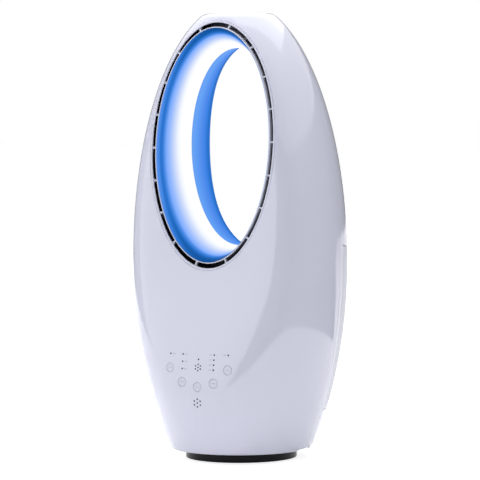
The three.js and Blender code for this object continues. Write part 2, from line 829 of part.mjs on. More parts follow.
function baseHub() {
  const hub = solid(turned([[hubBore, hubFlangeBottom], [hubFlangeRadius, hubFlangeBottom],
    [hubFlangeRadius, hubFlangeTop], [hubRadius, hubFlangeTop], [hubRadius, hubShoulderZ],
    [spigotRadius, hubShoulderZ], [spigotRadius, spigotTop], [hubBore, spigotTop]]));
  return drilled(hub, hubScrewPlaces, screwRadius + gap, hubFlangeBottom - 1, hubFlangeTop + 1);
}

// a screw with its head up: head bottom at z = 0
function screw(length, headRadius = screwHeadRadius, radius = screwRadius) {
  return turned([[0, -length], [radius, -length], [radius, 0], [headRadius, 0],
    [headRadius, screwHeadHeight], [0, screwHeadHeight]], smallFacets);
}

function gearOutline(teeth) {
  const pitchRadius = (gearModule * teeth) / 2;
  const tip = pitchRadius + 0.75 * gearModule;
  const root = pitchRadius - 1.05 * gearModule;
  const pitch = (2 * Math.PI) / teeth;
  const at = (radius, angle) => new THREE.Vector2(radius * Math.cos(angle), radius * Math.sin(angle));
  return Array.from({ length: teeth }, (_, i) => {
    const centre = i * pitch;
    return [at(root, centre - 0.3 * pitch), at(tip, centre - 0.1 * pitch),
      at(tip, centre + 0.1 * pitch), at(root, centre + 0.3 * pitch)];
  }).flat();
}

function fixedGear() {
  const bore = circle(spigotRadius + gap, 0, 0, roundFacets);
  return raised(gearOutline(fixedTeeth), gearBottom, gearTop, [bore]);
}

// ---- body floor and swivel drive ----------------------------------------------------------------
const floorTop = floorZ + floorThickness;
const floorRadius = eggSection(floorZ, wall + 2 * gap) - gap;
const bushInner = hubRadius + gap;
const bushOuter = bushInner + bushWall;
const bossInner = bushOuter + gap;
const bossTop = hubShoulderZ - gap;
const pinionX = (gearModule * (fixedTeeth + pinionTeeth)) / 2;
const postTop = spigotTop + 1;
const bridgeBottom = postTop + gap;
const bridgeTop = bridgeBottom + bridgeThickness;
const motorBase = bridgeTop + gap;
const earTop = motorBase + motorEar.thickness;
const postPlaces = [[pinionX, -postSpread], [pinionX, postSpread]];
const pinionTop = motorBase + pinionStub;
const powerFar = powerMargin - floorRadius;
const powerNear = powerFar + powerWidth;
const powerPosts = [powerFar + powerPostInset, powerNear - powerPostInset].flatMap((x) => (
  [-1, 1].map((side) => [x, side * (powerLength / 2 - powerPostInset)])
));

function bodyFloor() {
  const disc = solid(tube(bossInner, floorRadius, floorZ, floorTop, bodyFacets));
  const low = floorTop - postOverlap;
  let floor = disc.intersect(cavity);
  floor = floor.add(solid(tube(bossInner, bossInner + bossWall, low, bossTop)));
  floor = floor.add(solid(rod(pivotRadius, low, gearBottom - gap).translate(pinionX, 0, 0)));
  for (const [x, y] of postPlaces) {
    floor = floor.add(solid(rod(postRadius, low, postTop).translate(x, y, 0)));
  }
  for (const [x, y] of powerPosts) {
    floor = floor.add(solid(rod(powerPostRadius, low, powerZ - gap).translate(x, y, 0)));
  }
  return drilled(floor, postPlaces, screwRadius + gap, postTop - bridgeScrewLength, postTop + 1);
}

function gearBridge() {
  const half = swivelMotorRadius + bridgeThickness;
  const reach = postSpread + motorEar.half;
  const corners = [[-half, -reach], [half, -reach], [half, reach], [-half, reach]];
  const outline = corners.map(([x, y]) => new THREE.Vector2(pinionX + x, y));
  const holes = postPlaces.map(([x, y]) => circle(screwRadius + gap, x, y));
  holes.push(circle(pinionShaftRadius + gap, pinionX, 0));
  return raised(outline, bridgeBottom, bridgeTop, holes);
}

function swivelMotor() {
  let motor = solid(rod(swivelMotorRadius, motorBase, motorBase + swivelMotorHeight, 28));
  const { half } = motorEar;
  const ears = block([-half, -postSpread - half, motorBase], [half, postSpread + half, earTop]);
  motor = motor.add(solid(ears)).translate([pinionX, 0, 0]);
  motor = motor.subtract(solid(rod(pinionShaftRadius + gap, motorBase - 1, pinionTop + gap)
    .translate(pinionX, 0, 0)));
  return drilled(motor, postPlaces, screwRadius + gap, motorBase - 1, earTop + 1);
}

function drivePinion() {
  const gapOppositeTooth = pinionTeeth % 2 === 0 ? Math.PI / pinionTeeth : 0;
  const gear = raised(gearOutline(pinionTeeth), gearBottom, gearTop).rotateZ(gapOppositeTooth);
  return solid(gear).add(solid(rod(pinionShaftRadius, gearTop - 1, pinionTop)));
}

// ---- blower -------------------------------------------------------------------------------------
const deckTop = deckZ + deckThickness;
const housingTop = deckZ - gap;
const housingBore = housingRadius - housingWall;
const wheelTop = wheelBottom + wheelHeight;
const hubBottom = wheelBottom + wheelHub.rise;
const ledgeTop = housingBottom + ledgeHeight;
const flangeRadius = faceDepth(deckZ, wall + 2 * gap) - flangeClearance;
const blowerScrewCircle = flangeRadius - blowerScrewMargin;
const blowerScrewPlaces = [30, 150, 270].map((degrees) => {
  const angle = THREE.MathUtils.degToRad(degrees);
  return [blowerScrewCircle * Math.cos(angle), blowerScrewCircle * Math.sin(angle)];
});

function blowerHousing() {
  const ledge = housingBore - ledgeWidth;
  const flangeBottom = housingTop - deckThickness;
  const housing = solid(turned([[ledge, housingBottom], [housingRadius, housingBottom],
    [housingRadius, flangeBottom], [flangeRadius, flangeBottom], [flangeRadius, housingTop],
    [housingBore, housingTop], [housingBore, ledgeTop], [ledge, ledgeTop]], ductFacets));
  return drilled(housing, blowerScrewPlaces, screwRadius + gap, flangeBottom - 1, housingTop + 1);
}

function ductDeck() {
  const slab = solid(block([-far, -far, deckZ], [far, far, deckTop]));
  const deck = slab.intersect(cavity);
  const holed = drilled(deck, blowerScrewPlaces, screwRadius + gap, deckZ - 1, deckTop + 1);
  return holed.subtract(solid(rod(housingBore, deckZ - 1, deckTop + 1, ductFacets)));
}

function inletBellmouth() {
  const low = ledgeTop + gap;
  const outer = housingBore - gap;
  const lip = wheelBottom - 1;
  return turned([[outer, low], [outer, low + 3], [wheelEye + 14, low + 5], [wheelEye + 4.5, low + 10],
    [wheelEye + 2, lip], [wheelEye, lip], [wheelEye + 3, low + 8], [wheelEye + 18, low]], ductFacets);
}

// centre line of one blade, swept back as it runs out
function bladeOutline() {
  const steps = 3;
  const side = (offset) => Array.from({ length: steps + 1 }, (_, i) => {
    const radius = bladeStart + ((wheelRadius - 1 - bladeStart) * i) / steps;
    const angle = -bladeSweep * (i / steps) ** 1.3 + offset / radius;
    return new THREE.Vector2(radius * Math.cos(angle), radius * Math.sin(angle));
  });
  return [...side(-bladeThickness / 2), ...side(bladeThickness / 2).reverse()];
}

function impeller() {
  const bore = shaftRadius + gap;
  const cone = wheelCone.map(({ radius, drop }) => [radius, wheelTop - drop]);
  let wheel = solid(turned([[bore, hubBottom], [wheelHub.radius, hubBottom], ...cone,
    [wheelRadius, wheelTop - wheelPlate], [wheelRadius, wheelTop], [bore, wheelTop]]));
  wheel = wheel.add(solid(tube(wheelEye, wheelRadius, wheelBottom, wheelBottom + wheelPlate)));
  for (let i = 0; i < bladeCount; i += 1) {
    const blade = raised(bladeOutline(), wheelBottom + wheelPlate / 2, wheelTop - wheelPlate / 2);
    wheel = wheel.add(solid(blade.rotateZ((2 * Math.PI * i) / bladeCount)));
  }
  return wheel;
}

function motorShaft() {
  return rod(shaftRadius, wheelBottom - 2, motorBottom + motorHeight - gap, 16);
}

function impellerNut() {
  const top = hubBottom - gap;
  const nut = solid(rod(nutRadius, top - nutHeight, top, 6));
  return nut.subtract(solid(rod(shaftRadius + gap, top - nutHeight - 1, top + 1, 16)));
}

function motorCan() {
  const top = motorBottom + motorHeight;
  const seat = bearingRadius + gap;
  const bore = shaftRadius + 2 * gap;
  return turned([[seat, motorBottom], [motorRadius - 2, motorBottom], [motorRadius, motorBottom + 2],
    [motorRadius, top - 4], [motorRadius - 4, top], [seat, top], [seat, top - bearingHeight],
    [bore, top - bearingHeight], [bore, motorBottom + bearingHeight],
    [seat, motorBottom + bearingHeight]], motorFacets);
}

function motorBearing(low) {
  return tube(shaftRadius + gap, bearingRadius, low, low + bearingHeight - gap, 16);
}

const damperInner = motorRadius + gap;
const damperOuter = damperInner + damperWall;
const damperTop = diffuserBottom + damperHeight;

function diffuser() {
  const top = diffuserBottom + diffuserHeight;
  const inner = damperOuter + gap;
  const outer = housingBore - gap;
  let ring = solid(tube(inner, inner + diffuserWall, diffuserBottom, top, motorFacets));
  ring = ring.add(solid(tube(outer - diffuserWall, outer, diffuserBottom, top, ductFacets)));
  for (let i = 0; i < vaneCount; i += 1) {
    const half = vaneThickness / 2;
    const vane = block([inner + 1, -half, diffuserBottom + 1], [outer - 1, half, top - 1]);
    ring = ring.add(solid(vane.rotateZ((2 * Math.PI * i) / vaneCount)));
  }
  return ring;
}

// ---- control panel ------------------------------------------------------------------------------
function panelKey(x, w) {
  const sink = panelSink(x, w);
  const back = sink + keyDepth;
  const stemEnd = boardDepth - switchHeight - keyTravel - gap;
  const plug = rod(keyRadius, sink - keyRadius, back + keyFlange, keyFacets);
  const cap = solid(onPanel(plug, x, w)).intersect(outerForm);
  const brim = onPanel(rod(keyRadius + keyFlange, back - keyFlange, back + keyFlange, keyFacets), x, w);
  const stem = onPanel(rod(keyStem, back, stemEnd), x, w);
  return cap.add(solid(brim).intersect(cavity)).add(solid(stem));
}

function controlBoard() {
  const back = boardDepth + boardThickness;
  const plate = block([-boardHalfWidth, -boardHigh, boardDepth], [boardHalfWidth, -boardLow, back]);
  let board = solid(plate.applyMatrix4(panelFrame));
  const front = boardDepth - switchHeight;
  for (const [x, w] of keyPlaces) {
    const button = block([-switchHalf, -switchHalf, front], [switchHalf, switchHalf, back - gap]);
    board = board.add(solid(onPanel(button, x, w)));
  }
  for (const [x, w] of boardPosts) {
    board = board.subtract(solid(onPanel(rod(boardScrew.hole, boardDepth - 1, back + 1), x, w)));
  }
  return board;
}

function boardScrewShape(x, w) {
  const { length, head, radius } = boardScrew;
  const shape = screw(length, head, radius);
  return onPanel(shape.translate(0, 0, boardDepth + boardThickness + gap), x, w);
}

function buzzer() {
  const back = -surfaceDepth(0, soundHoleZ) + wall + buzzerHeight;
  const can = alongY(buzzerRadius, 0, soundHoleZ, -far / 2, back, keyFacets);
  return can.intersect(cavity);
}

function lightGuide() {
  const back = boardDepth - gap;
  const guide = block([-guideHalfWidth, -guideHalfHeight, back - guideThickness],
    [guideHalfWidth, guideHalfHeight, back]);
  return onPanel(guide, 0, panelW(guideZ));
}

function powerSocket() {
  const front = surfaceDepth(0, socketZ) - socketLength;
  let socket = alongY(socketRadius, 0, socketZ, front, far / 2, 20).intersect(outerForm);
  socket = socket.subtract(alongY(socketBore, 0, socketZ, front + 8, far, 16));
  return socket.add(alongY(socketPinRadius, 0, socketZ, front + 6, front + 17, 8));
}

function powerBoardShape() {
  const top = powerZ + boardThickness;
  const coil = powerFar + transformer.inset;
  const half = powerLength / 2;
  let board = solid(block([powerFar, -half, powerZ], [powerNear, half, top]));
  board = board.add(solid(block([coil, transformer.y[0], powerZ + gap],
    [coil + transformer.width, transformer.y[1], top + transformer.height])));
  const can = rod(capacitor.radius, powerZ + gap, top + capacitor.height);
  return board.add(solid(can.translate(powerFar + capacitor.inset, capacitor.y, 0)));
}

function shellScrew(x, z) {
  const length = screwHeadY - screwTipY;
  return screw(length).rotateX(-Math.PI / 2).translate(x, screwHeadY, z);
}

// ---- assembly -----------------------------------------------------------------------------------
function piece(name, shape, look) {
  const mesh = new THREE.Mesh(shape.isBufferGeometry ? shape : toGeometry(shape), look);
  mesh.name = name;
  return mesh;
}

function placed(mesh, x, y, z) {
  mesh.position.set(x, y, z);
  return mesh;
}

const base = new THREE.Group();
base.name = 'swivel_base';
base.add(
  piece('foot_ring', tube(footOuter - footWidth, footOuter, 0, footHeight, bodyFacets), rubber),
  piece('base_plate', basePlate(), steel),
  piece('base_cover', baseCover(), matteBlack),
  piece('base_hub', baseHub(), steel),
  piece('fixed_gear', fixedGear(), nylon),
  piece('hub_lock_ring', tube(spigotRadius + gap, lockRingRadius, gearTop + gap, spigotTop), steel),
);
hubScrewPlaces.forEach(([x, y], i) => {
  const shape = screw(hubScrew.length, hubScrew.head);
  base.add(placed(piece(`hub_screw_${i + 1}`, shape, steel), x, y, hubFlangeTop + gap));
});

const swivelDrive = new THREE.Group();
swivelDrive.name = 'swivel_drive';
swivelDrive.add(
  piece('body_floor', bodyFloor(), greyPlastic),
  piece('glide_ring', tube(glideOuter - glideWidth, glideOuter, baseTop + gap, floorZ - gap), nylon),
  piece('swivel_bush', tube(bushInner, bushOuter, floorZ + gap, bossTop - gap), brass),
  piece('gear_bridge', gearBridge(), steel),
  piece('swivel_motor', swivelMotor(), steel),
  placed(piece('drive_pinion', drivePinion(), nylon), pinionX, 0, 0),
);
postPlaces.forEach(([x, y], i) => {
  const shape = screw(bridgeScrewLength);
  swivelDrive.add(placed(piece(`bridge_screw_${i + 1}`, shape, steel), x, y, earTop + gap));
});

const blower = new THREE.Group();
blower.name = 'blower';
blower.add(
  piece('duct_deck', ductDeck(), greyPlastic),
  piece('blower_housing', blowerHousing(), greyPlastic),
  piece('inlet_bellmouth', inletBellmouth(), greyPlastic),
  piece('impeller', impeller(), nylon),
  piece('motor_shaft', motorShaft(), steel),
  piece('impeller_nut', impellerNut(), brass),
  piece('fan_motor', motorCan(), steel),
  piece('lower_bearing', motorBearing(motorBottom), steel),
  piece('upper_bearing', motorBearing(motorBottom + motorHeight - bearingHeight + gap), steel),
  piece('motor_damper', tube(damperInner, damperOuter, diffuserBottom, damperTop, motorFacets), rubber),
  piece('diffuser', diffuser(), greyPlastic),
);
blowerScrewPlaces.forEach(([x, y], i) => {
  const shape = screw(blowerScrewLength);
  blower.add(placed(piece(`blower_screw_${i + 1}`, shape, steel), x, y, deckTop + gap));
});

const head = new THREE.Group();
head.name = 'oval_head';
head.add(
  piece('front_light_ring', frontLightRing(), lightDiffuser),
  piece('rear_light_ring', rearLightRing(), lightDiffuser),
  piece('light_carrier', lightCarrier(), matteBlack),
  piece('light_strip', lightStrip(), circuitGreen),
  piece('outlet_spacer', outletSpacer(), glossWhite),
  piece('nozzle_liner', nozzleLiner(), matteBlack),
);

const panel = new THREE.Group();
panel.name = 'control_panel';
keyPlaces.forEach(([x, w], i) => panel.add(piece(keyNames[i], panelKey(x, w), keyWhite)));
panel.add(
  piece('control_board', controlBoard(), circuitGreen),
  piece('buzzer', buzzer(), matteBlack),
  piece('light_guide', lightGuide(), nylon),
);
boardPosts.slice(0, 2).forEach(([x, w], i) => {
  panel.add(piece(`board_screw_${i + 1}`, boardScrewShape(x, w), steel));
});

const casing = new THREE.Group();
casing.name = 'casing';
casing.add(
  piece('front_shell', frontShell(), glossWhite),
  piece('rear_shell', rearShell(), glossWhite),
  piece('intake_grille', intakeGrille(), grilleWhite),
  piece('filter_mesh', filterMesh(), filterGrey),
  piece('power_socket', powerSocket(), matteBlack),
  piece('power_board', powerBoardShape(), circuitGreen),
);
bothSides(shellScrews).forEach(([x, z], i) => {
  casing.add(piece(`shell_screw_${i + 1}`, shellScrew(x, z), steel));
});

const tower = new THREE.Group();
tower.name = 'swivelling_tower';
tower.add(swivelDrive, blower, head, panel, casing);

const fan = new THREE.Group();
fan.name = 'bladeless_fan';
fan.add(base, tower);

export default fan;
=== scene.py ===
"""Looks of the bladeless fan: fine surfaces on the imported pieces, materials, light and camera."""

import json
import math
from collections import namedtuple

import bmesh
import bpy
import numpy as np
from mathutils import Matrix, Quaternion, Vector
from mathutils.bvhtree import BVHTree
from mathutils.interpolate import poly_3d_calc

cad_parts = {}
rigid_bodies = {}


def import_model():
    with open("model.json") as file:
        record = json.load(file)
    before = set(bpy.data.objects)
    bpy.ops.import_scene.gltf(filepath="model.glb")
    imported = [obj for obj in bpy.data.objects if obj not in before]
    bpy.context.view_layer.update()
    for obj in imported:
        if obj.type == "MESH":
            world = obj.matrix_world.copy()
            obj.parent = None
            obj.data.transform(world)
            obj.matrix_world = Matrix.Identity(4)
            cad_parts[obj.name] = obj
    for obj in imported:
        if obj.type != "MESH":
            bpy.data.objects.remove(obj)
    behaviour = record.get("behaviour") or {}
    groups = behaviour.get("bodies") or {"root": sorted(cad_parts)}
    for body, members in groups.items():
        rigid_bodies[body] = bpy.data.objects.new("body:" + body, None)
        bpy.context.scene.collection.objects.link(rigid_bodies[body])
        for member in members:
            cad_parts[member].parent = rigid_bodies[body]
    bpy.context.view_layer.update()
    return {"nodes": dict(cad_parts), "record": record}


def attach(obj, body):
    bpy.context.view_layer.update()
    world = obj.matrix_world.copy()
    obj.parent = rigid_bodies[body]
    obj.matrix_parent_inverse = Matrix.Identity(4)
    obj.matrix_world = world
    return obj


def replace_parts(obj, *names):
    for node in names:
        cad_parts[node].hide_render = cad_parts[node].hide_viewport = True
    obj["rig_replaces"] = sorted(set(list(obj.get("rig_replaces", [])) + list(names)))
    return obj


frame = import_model()

# ---- sizes, in millimetres, as in the part's source ----
MM = 0.001
GAP = 0.3
WALL = 2.6

TOWER_TOP = 590.0
SHELL_BOTTOM = 13.0
EGG_RADIUS = 143.0  # of the outer form, an egg with a flattened front and back
EGG_CENTRE_Z = 268.7
TOP_RADIUS = 45.6
BOTTOM_RADIUS = 93.9
CREASE = 12  # how sharply the flat faces turn into the round sides
BEND_Z = 245.0
BEND_DEPTH = 88.3
BEND_WIDTH = 30.0
UPPER_LEAN = 0.08
LOWER_LEAN = 0.218
TOP_EDGE = 5.0
BOTTOM_EDGE = 1.2
SEAM_Y = 18.0
UPPER_HEIGHT = (TOWER_TOP - EGG_CENTRE_Z) / math.sqrt(1 - (TOP_RADIUS / EGG_RADIUS) ** 2)
LOWER_HEIGHT = (EGG_CENTRE_Z - SHELL_BOTTOM) / math.sqrt(1 - (BOTTOM_RADIUS / EGG_RADIUS) ** 2)

# ovals: half width, half height, how far the centre lies below the slot's, how much it narrows
# towards its top, and how much wider than an ellipse it is near both ends
Oval = namedtuple("Oval", "x z lower taper fullness", defaults=(0, 0, 0))
OVAL_Z = 418.4
SLOT_OUTER = Oval(91.5, 160.9)
SLOT_INNER = Oval(86.4, 154.3)
THROAT = Oval(72.0, 130.8, 4.8)
THROAT_Y = -3.0
REAR_RIM = Oval(88.0, 143.8, 9.0, 0.08, 0.18)
LIP_RECESS = 1.5
LIGHT_WALL = 2.0
LIGHT_RIM_DRAFT = 0.4
FLARE_CURVE = 1.4
RIB_COUNT = 18
RIB_WIDTH = 2.0
RIB_DEPTH = 5.0
RIB_RECESS = 2.2
RIB_SHIFT = 0.11  # of the spacing, anticlockwise
RIB_EDGE = 0.35
RIB_FLARE = 1.1  # how much wider a rib is at its ends, and over what length
RIB_FLARE_LENGTH = 1.3
LIP_BAND = 1.4
BAND_INNER = -0.9  # the white line round the lip, from the lip's place in the solids
BAND_OUTER = 0.45
BAND_EDGE = 0.2
CARRIER_WALL = 2.0
CARRIER_CLEARANCE = 9.0
LINER_WALL = 1.5
LINER_DEPTH = 18.0
SLOT_FILLET = 1.2
SEAM_BEVEL = 0.35
TRIM_LINE = 2.9  # a fine parting line runs round the slot this far outside it
TRIM_LINE_WIDTH = 1.0
TRIM_LINE_DEPTH = 1.5
TRIM_LINE_SLOPE = 1.6

BASE_RADIUS = 74.0
BASE_TOP = 12.0
BASE_WALL = 2.2
BASE_EDGE = 1.2
BASE_LIFT = 0.2
COVER_HOLE = 31.0
FOOT_INNER = 52.0
FOOT_OUTER = 66.0
FOOT_HEIGHT = 3.0
FOOT_EDGE = 0.8

GRILLE_ANGLE = math.radians(11.5)
GRILLE_BOTTOM = 65.0
GRILLE_SIDE_TOP = 285.0
GRILLE_REAR_TOP = 232.0
GRILLE_BEVEL = 0.5
LOUVRES = 44  # finer than the 18 slots of the solid
LOUVRE_BORDER = math.radians(17)
LOUVRE_WIDTH = 4.2
SLOT_ROWS = ((78.0, 138.0), (145.0, 205.0))

PANEL_Z = 115.0
KEY_RADIUS = 6.0
KEY_DEPTH = 4.6
KEY_FLANGE = 1.0
KEY_BRIM_LEAST = 0.4
KEY_STEM = 1.8
KEY_STEM_END = 9.0
KEY_FACE = ((1, 0), (2.2, 0), (3.4, 0), (4.6, 0), (5.5, 0), (5.8, 0.04), (6, 0.25))  # radius, drop
KEY_ARC_RADIUS = 52.0
KEY_ARC_BOTTOM_Z = 104.0
KEYS = {"light_key": -57, "mode_key": -27, "power_key": 0, "timer_key": 27, "swing_key": 57}
SOUND_HOLE_Z = 83.0
SOUND_HOLE_CIRCLE = 5.0
SOUND_HOLE_RADIUS = 1.2
FELT_CLEARANCE = 0.05
FELT_RECESS = 0.35
FELT_BACK = 1.4

SHELL_SCREWS = ((90.0, 45.0), (121.0, 330.0), (83.0, 517.0))
SHELL_BOSS = 5.6
SCREW_HOLE = 2.3
SCREW_HEAD_HOLE = 4.3
SCREW_HEAD_Y = 36.0
SOCKET_RADIUS = 7.0
SOCKET_Z = 36.0
SOCKET_LENGTH = 22.0
SOCKET_BORE = 3.6
SOCKET_PIN = 1.0
SOCKET_PIN_REACH = 16.5
SOCKET_FLOOR = 8.0
SOCKET_RECESS = 0.8
SOCKET_EDGE = 0.4
SOCKET_MOUTH = 0.6

# printed and lit marks on the panel: x and height of each dot's centre
DOT_RADIUS = 1.2
DOT_COLUMNS = {-43.5: (146.0,), -24.2: (146.0, 136.5, 127.0), 0.0: (140.0,),
               23.0: (146.5, 140.0, 133.5, 127.0), 43.5: (147.0,)}
FLOWER_Z = 129.5
FLOWER_RADIUS = 4.1
FLOWER_DOT = 1.1
LABEL_OFFSET = 5.2  # from a dot to the middle of its label bar
LABEL_LENGTH = 4.4
LABEL_HEIGHT = 1.2
KEY_MARK_RADIUS = 5.4
KEY_MARK_WIDTH = 0.32
KEY_BAR_LENGTH = 7.4
KEY_BAR_HEIGHT = 0.8
MARK_PROUD = 0.03
MARK_DEPTH = 0.25
BAR_STATIONS = 9

# grid densities, and steps of the searches for a surface
COLUMNS = 288
ROWS = 96
SAMPLES = 420
CORNER_STEPS = 4
RING_COLUMNS = 288
ROUND = 128
KEY_COLUMNS = 72
DOT_SIDES = 24
SEARCH_STEPS = 44
RAY_STEPS = 50
SLOPE_STEPS = 0.01 * np.eye(3)


# ---- the outer form ----
def egg_section(z):
    half = np.where(z > EGG_CENTRE_Z, UPPER_HEIGHT, LOWER_HEIGHT)
    share = (z - EGG_CENTRE_Z) / half
    return EGG_RADIUS * np.sqrt(np.maximum(1e-6, 1 - share * share))


def face_depth(z):
    below = BEND_Z - z
    softened = (below + np.hypot(below, BEND_WIDTH)) / 2
    return BEND_DEPTH + UPPER_LEAN * below + (LOWER_LEAN - UPPER_LEAN) * softened


def section_radius(angle, z):
    """Distance of the surface from the axis, angle measured from +X towards +Y."""
    flat_part = (np.abs(np.sin(angle)) / face_depth(z)) ** CREASE
    return (egg_section(z) ** -CREASE + flat_part) ** (-1 / CREASE)


def round_off(past, radius):
    """How far a rounded edge draws the surface in, at a distance past the rounding's start."""
    return radius - np.sqrt(radius**2 - np.clip(past, 0, radius) ** 2)


def edge_inset(z):
    """How far the rounded top and bottom edges draw the section in."""
    bottom = round_off(SHELL_BOTTOM + BOTTOM_EDGE - z, BOTTOM_EDGE)
    return round_off(z - (TOWER_TOP - TOP_EDGE), TOP_EDGE) + bottom


def bisected(low, high, is_low, steps=SEARCH_STEPS):
    """Where, between low and high, is_low stops being true; for numbers or whole arrays."""
    for _ in range(steps):
        middle = (low + high) / 2
        kept = is_low(middle)
        low = np.where(kept, middle, low)
        high = np.where(kept, high, middle)
    return low


def beyond(x, y, z):
    """Level distance by which a point lies outside the form; negative inside it."""
    return np.hypot(x, y) - section_radius(np.arctan2(y, x), z) + edge_inset(z)


def beyond_at(points):
    return beyond(*np.moveaxis(points, -1, 0))


def same_shape(*values):
    return np.broadcast_arrays(*(np.asarray(v, float) for v in values))


def surface_depth(x, z):
    """Distance of the surface from the XZ plane above a point of that plane."""
    x, z = same_shape(x, z)
    return bisected(np.zeros(x.shape), face_depth(z), lambda y: beyond(x, y, z) <= 0)


def outward(points):
    """Unit normals of the form at points that lie on it or just under it."""
    slopes = [beyond_at(points + step) - beyond_at(points - step) for step in SLOPE_STEPS]
    normals = np.stack(slopes, -1)
    flat_top = (points[..., 2] > TOWER_TOP - 0.02) & (beyond_at(points) < -0.05)
    normals[flat_top] = (0, 0, 1)
    return normals / np.linalg.norm(normals, axis=-1, keepdims=True)


def hit(turn, tilt, side):
    """Where rays from the oval's centre meet the form, turned round the Y axis, tilted from it."""
    across = np.sin(tilt)
    ray = np.stack([across * np.cos(turn), side * np.cos(tilt), across * np.sin(turn)], -1)
    centre = np.array([0.0, 0.0, OVAL_Z])

    def inside(reach):
        point = centre + ray * reach[..., None]
        return (beyond_at(point) <= 0) & (point[..., 2] <= TOWER_TOP)

    near = np.zeros(ray.shape[:-1])
    return centre + ray * bisected(near, near + 2 * TOWER_TOP, inside, RAY_STEPS)[..., None]


# ---- meshes ----
def linked(name, data):
    obj = bpy.data.objects.new(name, data)
    bpy.context.scene.collection.objects.link(obj)
    return obj


def make_object(name, points, faces):
    """A smooth-shaded mesh object from points in millimetres, its faces turned outwards."""
    mesh = bpy.data.meshes.new(name)
    mesh.from_pydata([tuple(p) for p in np.asarray(points) * MM], [], faces)
    turned = bmesh.new()
    turned.from_mesh(mesh)
    bmesh.ops.recalc_face_normals(turned, faces=turned.faces)
    for face in turned.faces:
        face.smooth = True
    turned.to_mesh(mesh)
    turned.free()
    return linked(name, mesh)


def ring_faces(rings, columns, start, looped=True):
    """Quads of a skin through rings of points, joined end to end when looped."""
    grid = start + np.arange(rings * columns).reshape(rings, columns)
    after = np.roll(grid, -1, axis=0)
    quads = np.stack([grid, np.roll(grid, -1, axis=1), np.roll(after, -1, axis=1), after], -1)
    return (quads if looped else quads[:-1]).reshape(-1, 4).tolist()


class Skin:
    """Points and faces of one mesh, gathered from closed parts."""

    def __init__(self):
        self.points = []
        self.faces = []

    def looped(self, rings):
        """A ring-shaped body: the last ring joins the first."""
        rings = np.asarray(rings, float)
        self.faces += ring_faces(len(rings), rings.shape[1], len(self.points))
        self.points += list(rings.reshape(-1, 3))
        return self

    def capped(self, rings):
        """A body closed by a fan of triangles at each end."""
        rings = np.asarray(rings, float)
        count = rings.shape[1]
        start = len(self.points)
        self.faces += ring_faces(len(rings), count, start, looped=False)
        self.points += list(rings.reshape(-1, 3))
        self.points += [rings[0].mean(axis=0), rings[-1].mean(axis=0)]
        first, last = len(self.points) - 2, len(self.points) - 1
        high = start + (len(rings) - 1) * count
        for j in range(count):
            k = (j + 1) % count
            self.faces += [(start + j, start + k, first), (high + j, high + k, last)]
        return self

    def slab(self, outer, inner):
        """A panel between two grids of points of one shape."""
        points = np.stack([outer, inner])
        grid = len(self.points) + np.arange(points.size // 3).reshape(points.shape[:3])
        self.points += list(points.reshape(-1, 3))
        upper, lower = grid[:, :-1], grid[:, 1:]
        quads = np.stack([upper[..., :-1], upper[..., 1:], lower[..., 1:], lower[..., :-1]], -1)
        self.faces += np.moveaxis(quads, 0, 2).reshape(-1, 4).tolist()
        near, far = (np.concatenate([side[0], side[1:, -1], side[-1, -2::-1], side[-2:0:-1, 0]])
                     for side in grid)
        edge = np.stack([near, np.roll(near, -1), np.roll(far, -1), far], -1)
        self.faces += edge.tolist()
        return self

    def build(self, name):
        return make_object(name, self.points, self.faces)

    def creased(self, name):
        return crease(self.build(name))


def turns_round(count):
    return np.linspace(0, 2 * math.pi, count, endpoint=False)


def circle(count):
    turn = turns_round(count)
    return np.cos(turn), np.sin(turn)


def lathe(profile):
    """Rings about the Z axis through [radius, height] pairs."""
    cos, sin = circle(ROUND)
    return [np.stack([r * cos, r * sin, np.full(ROUND, float(z))], -1) for r, z in profile]


def rounded(profile, radius):
    """The profile's corners rounded off; profile closes on itself."""
    points = [Vector(p) for p in profile]
    result = []
    for i, corner in enumerate(points):
        before = points[i - 1] - corner
        after = points[(i + 1) % len(points)] - corner
        cut_back = min(radius, before.length / 2.5, after.length / 2.5)
        start = corner + before.normalized() * cut_back
        end = corner + after.normalized() * cut_back
        for t in np.linspace(0, 1, CORNER_STEPS + 1):
            result.append(tuple(start * (1 - t) ** 2 + corner * 2 * t * (1 - t) + end * t**2))
    return result


def oval_line(size, angles):
    """x and z of an oval at angles about its centre."""
    rise = np.sin(angles)
    x = size.x * np.cos(angles) * (1 - size.taper * rise + size.fullness * rise**2)
    return x, OVAL_Z - size.lower + size.z * rise


def oval(size, depth_at):
    """Oval ring of points; depth_at gives y from x and z."""
    x, z = oval_line(size, turns_round(RING_COLUMNS))
    return np.stack([x, depth_at(x, z) + 0 * x, z], -1)


def grown(size, amount):
    return size._replace(x=size.x + amount, z=size.z + amount)


def front_y(behind):
    return lambda x, z: behind - surface_depth(x, z)


def rear_y(before):
    return lambda x, z: surface_depth(x, z) - before


def between(start, end, share):
    """Ring part of the way from one ring to another, drawn in early by the flare's curve."""
    inward = 1 - (1 - share) ** FLARE_CURVE
    weights = np.array([inward, share, inward])
    return start * (1 - weights) + end * weights


def throat_ring(amount, y):
    return oval(grown(THROAT, amount), lambda x, z: y)


# ---- cutting with the smooth shading kept ----
ON_SKIN = 1e-6  # metres from the old skin within which a corner belongs to it
SKIN_AGREES = 0.7  # cosines between a face and the old skin's flat and smooth normals
SMOOTH_AGREES = 0.5
CREASE_LIMIT = math.radians(30)


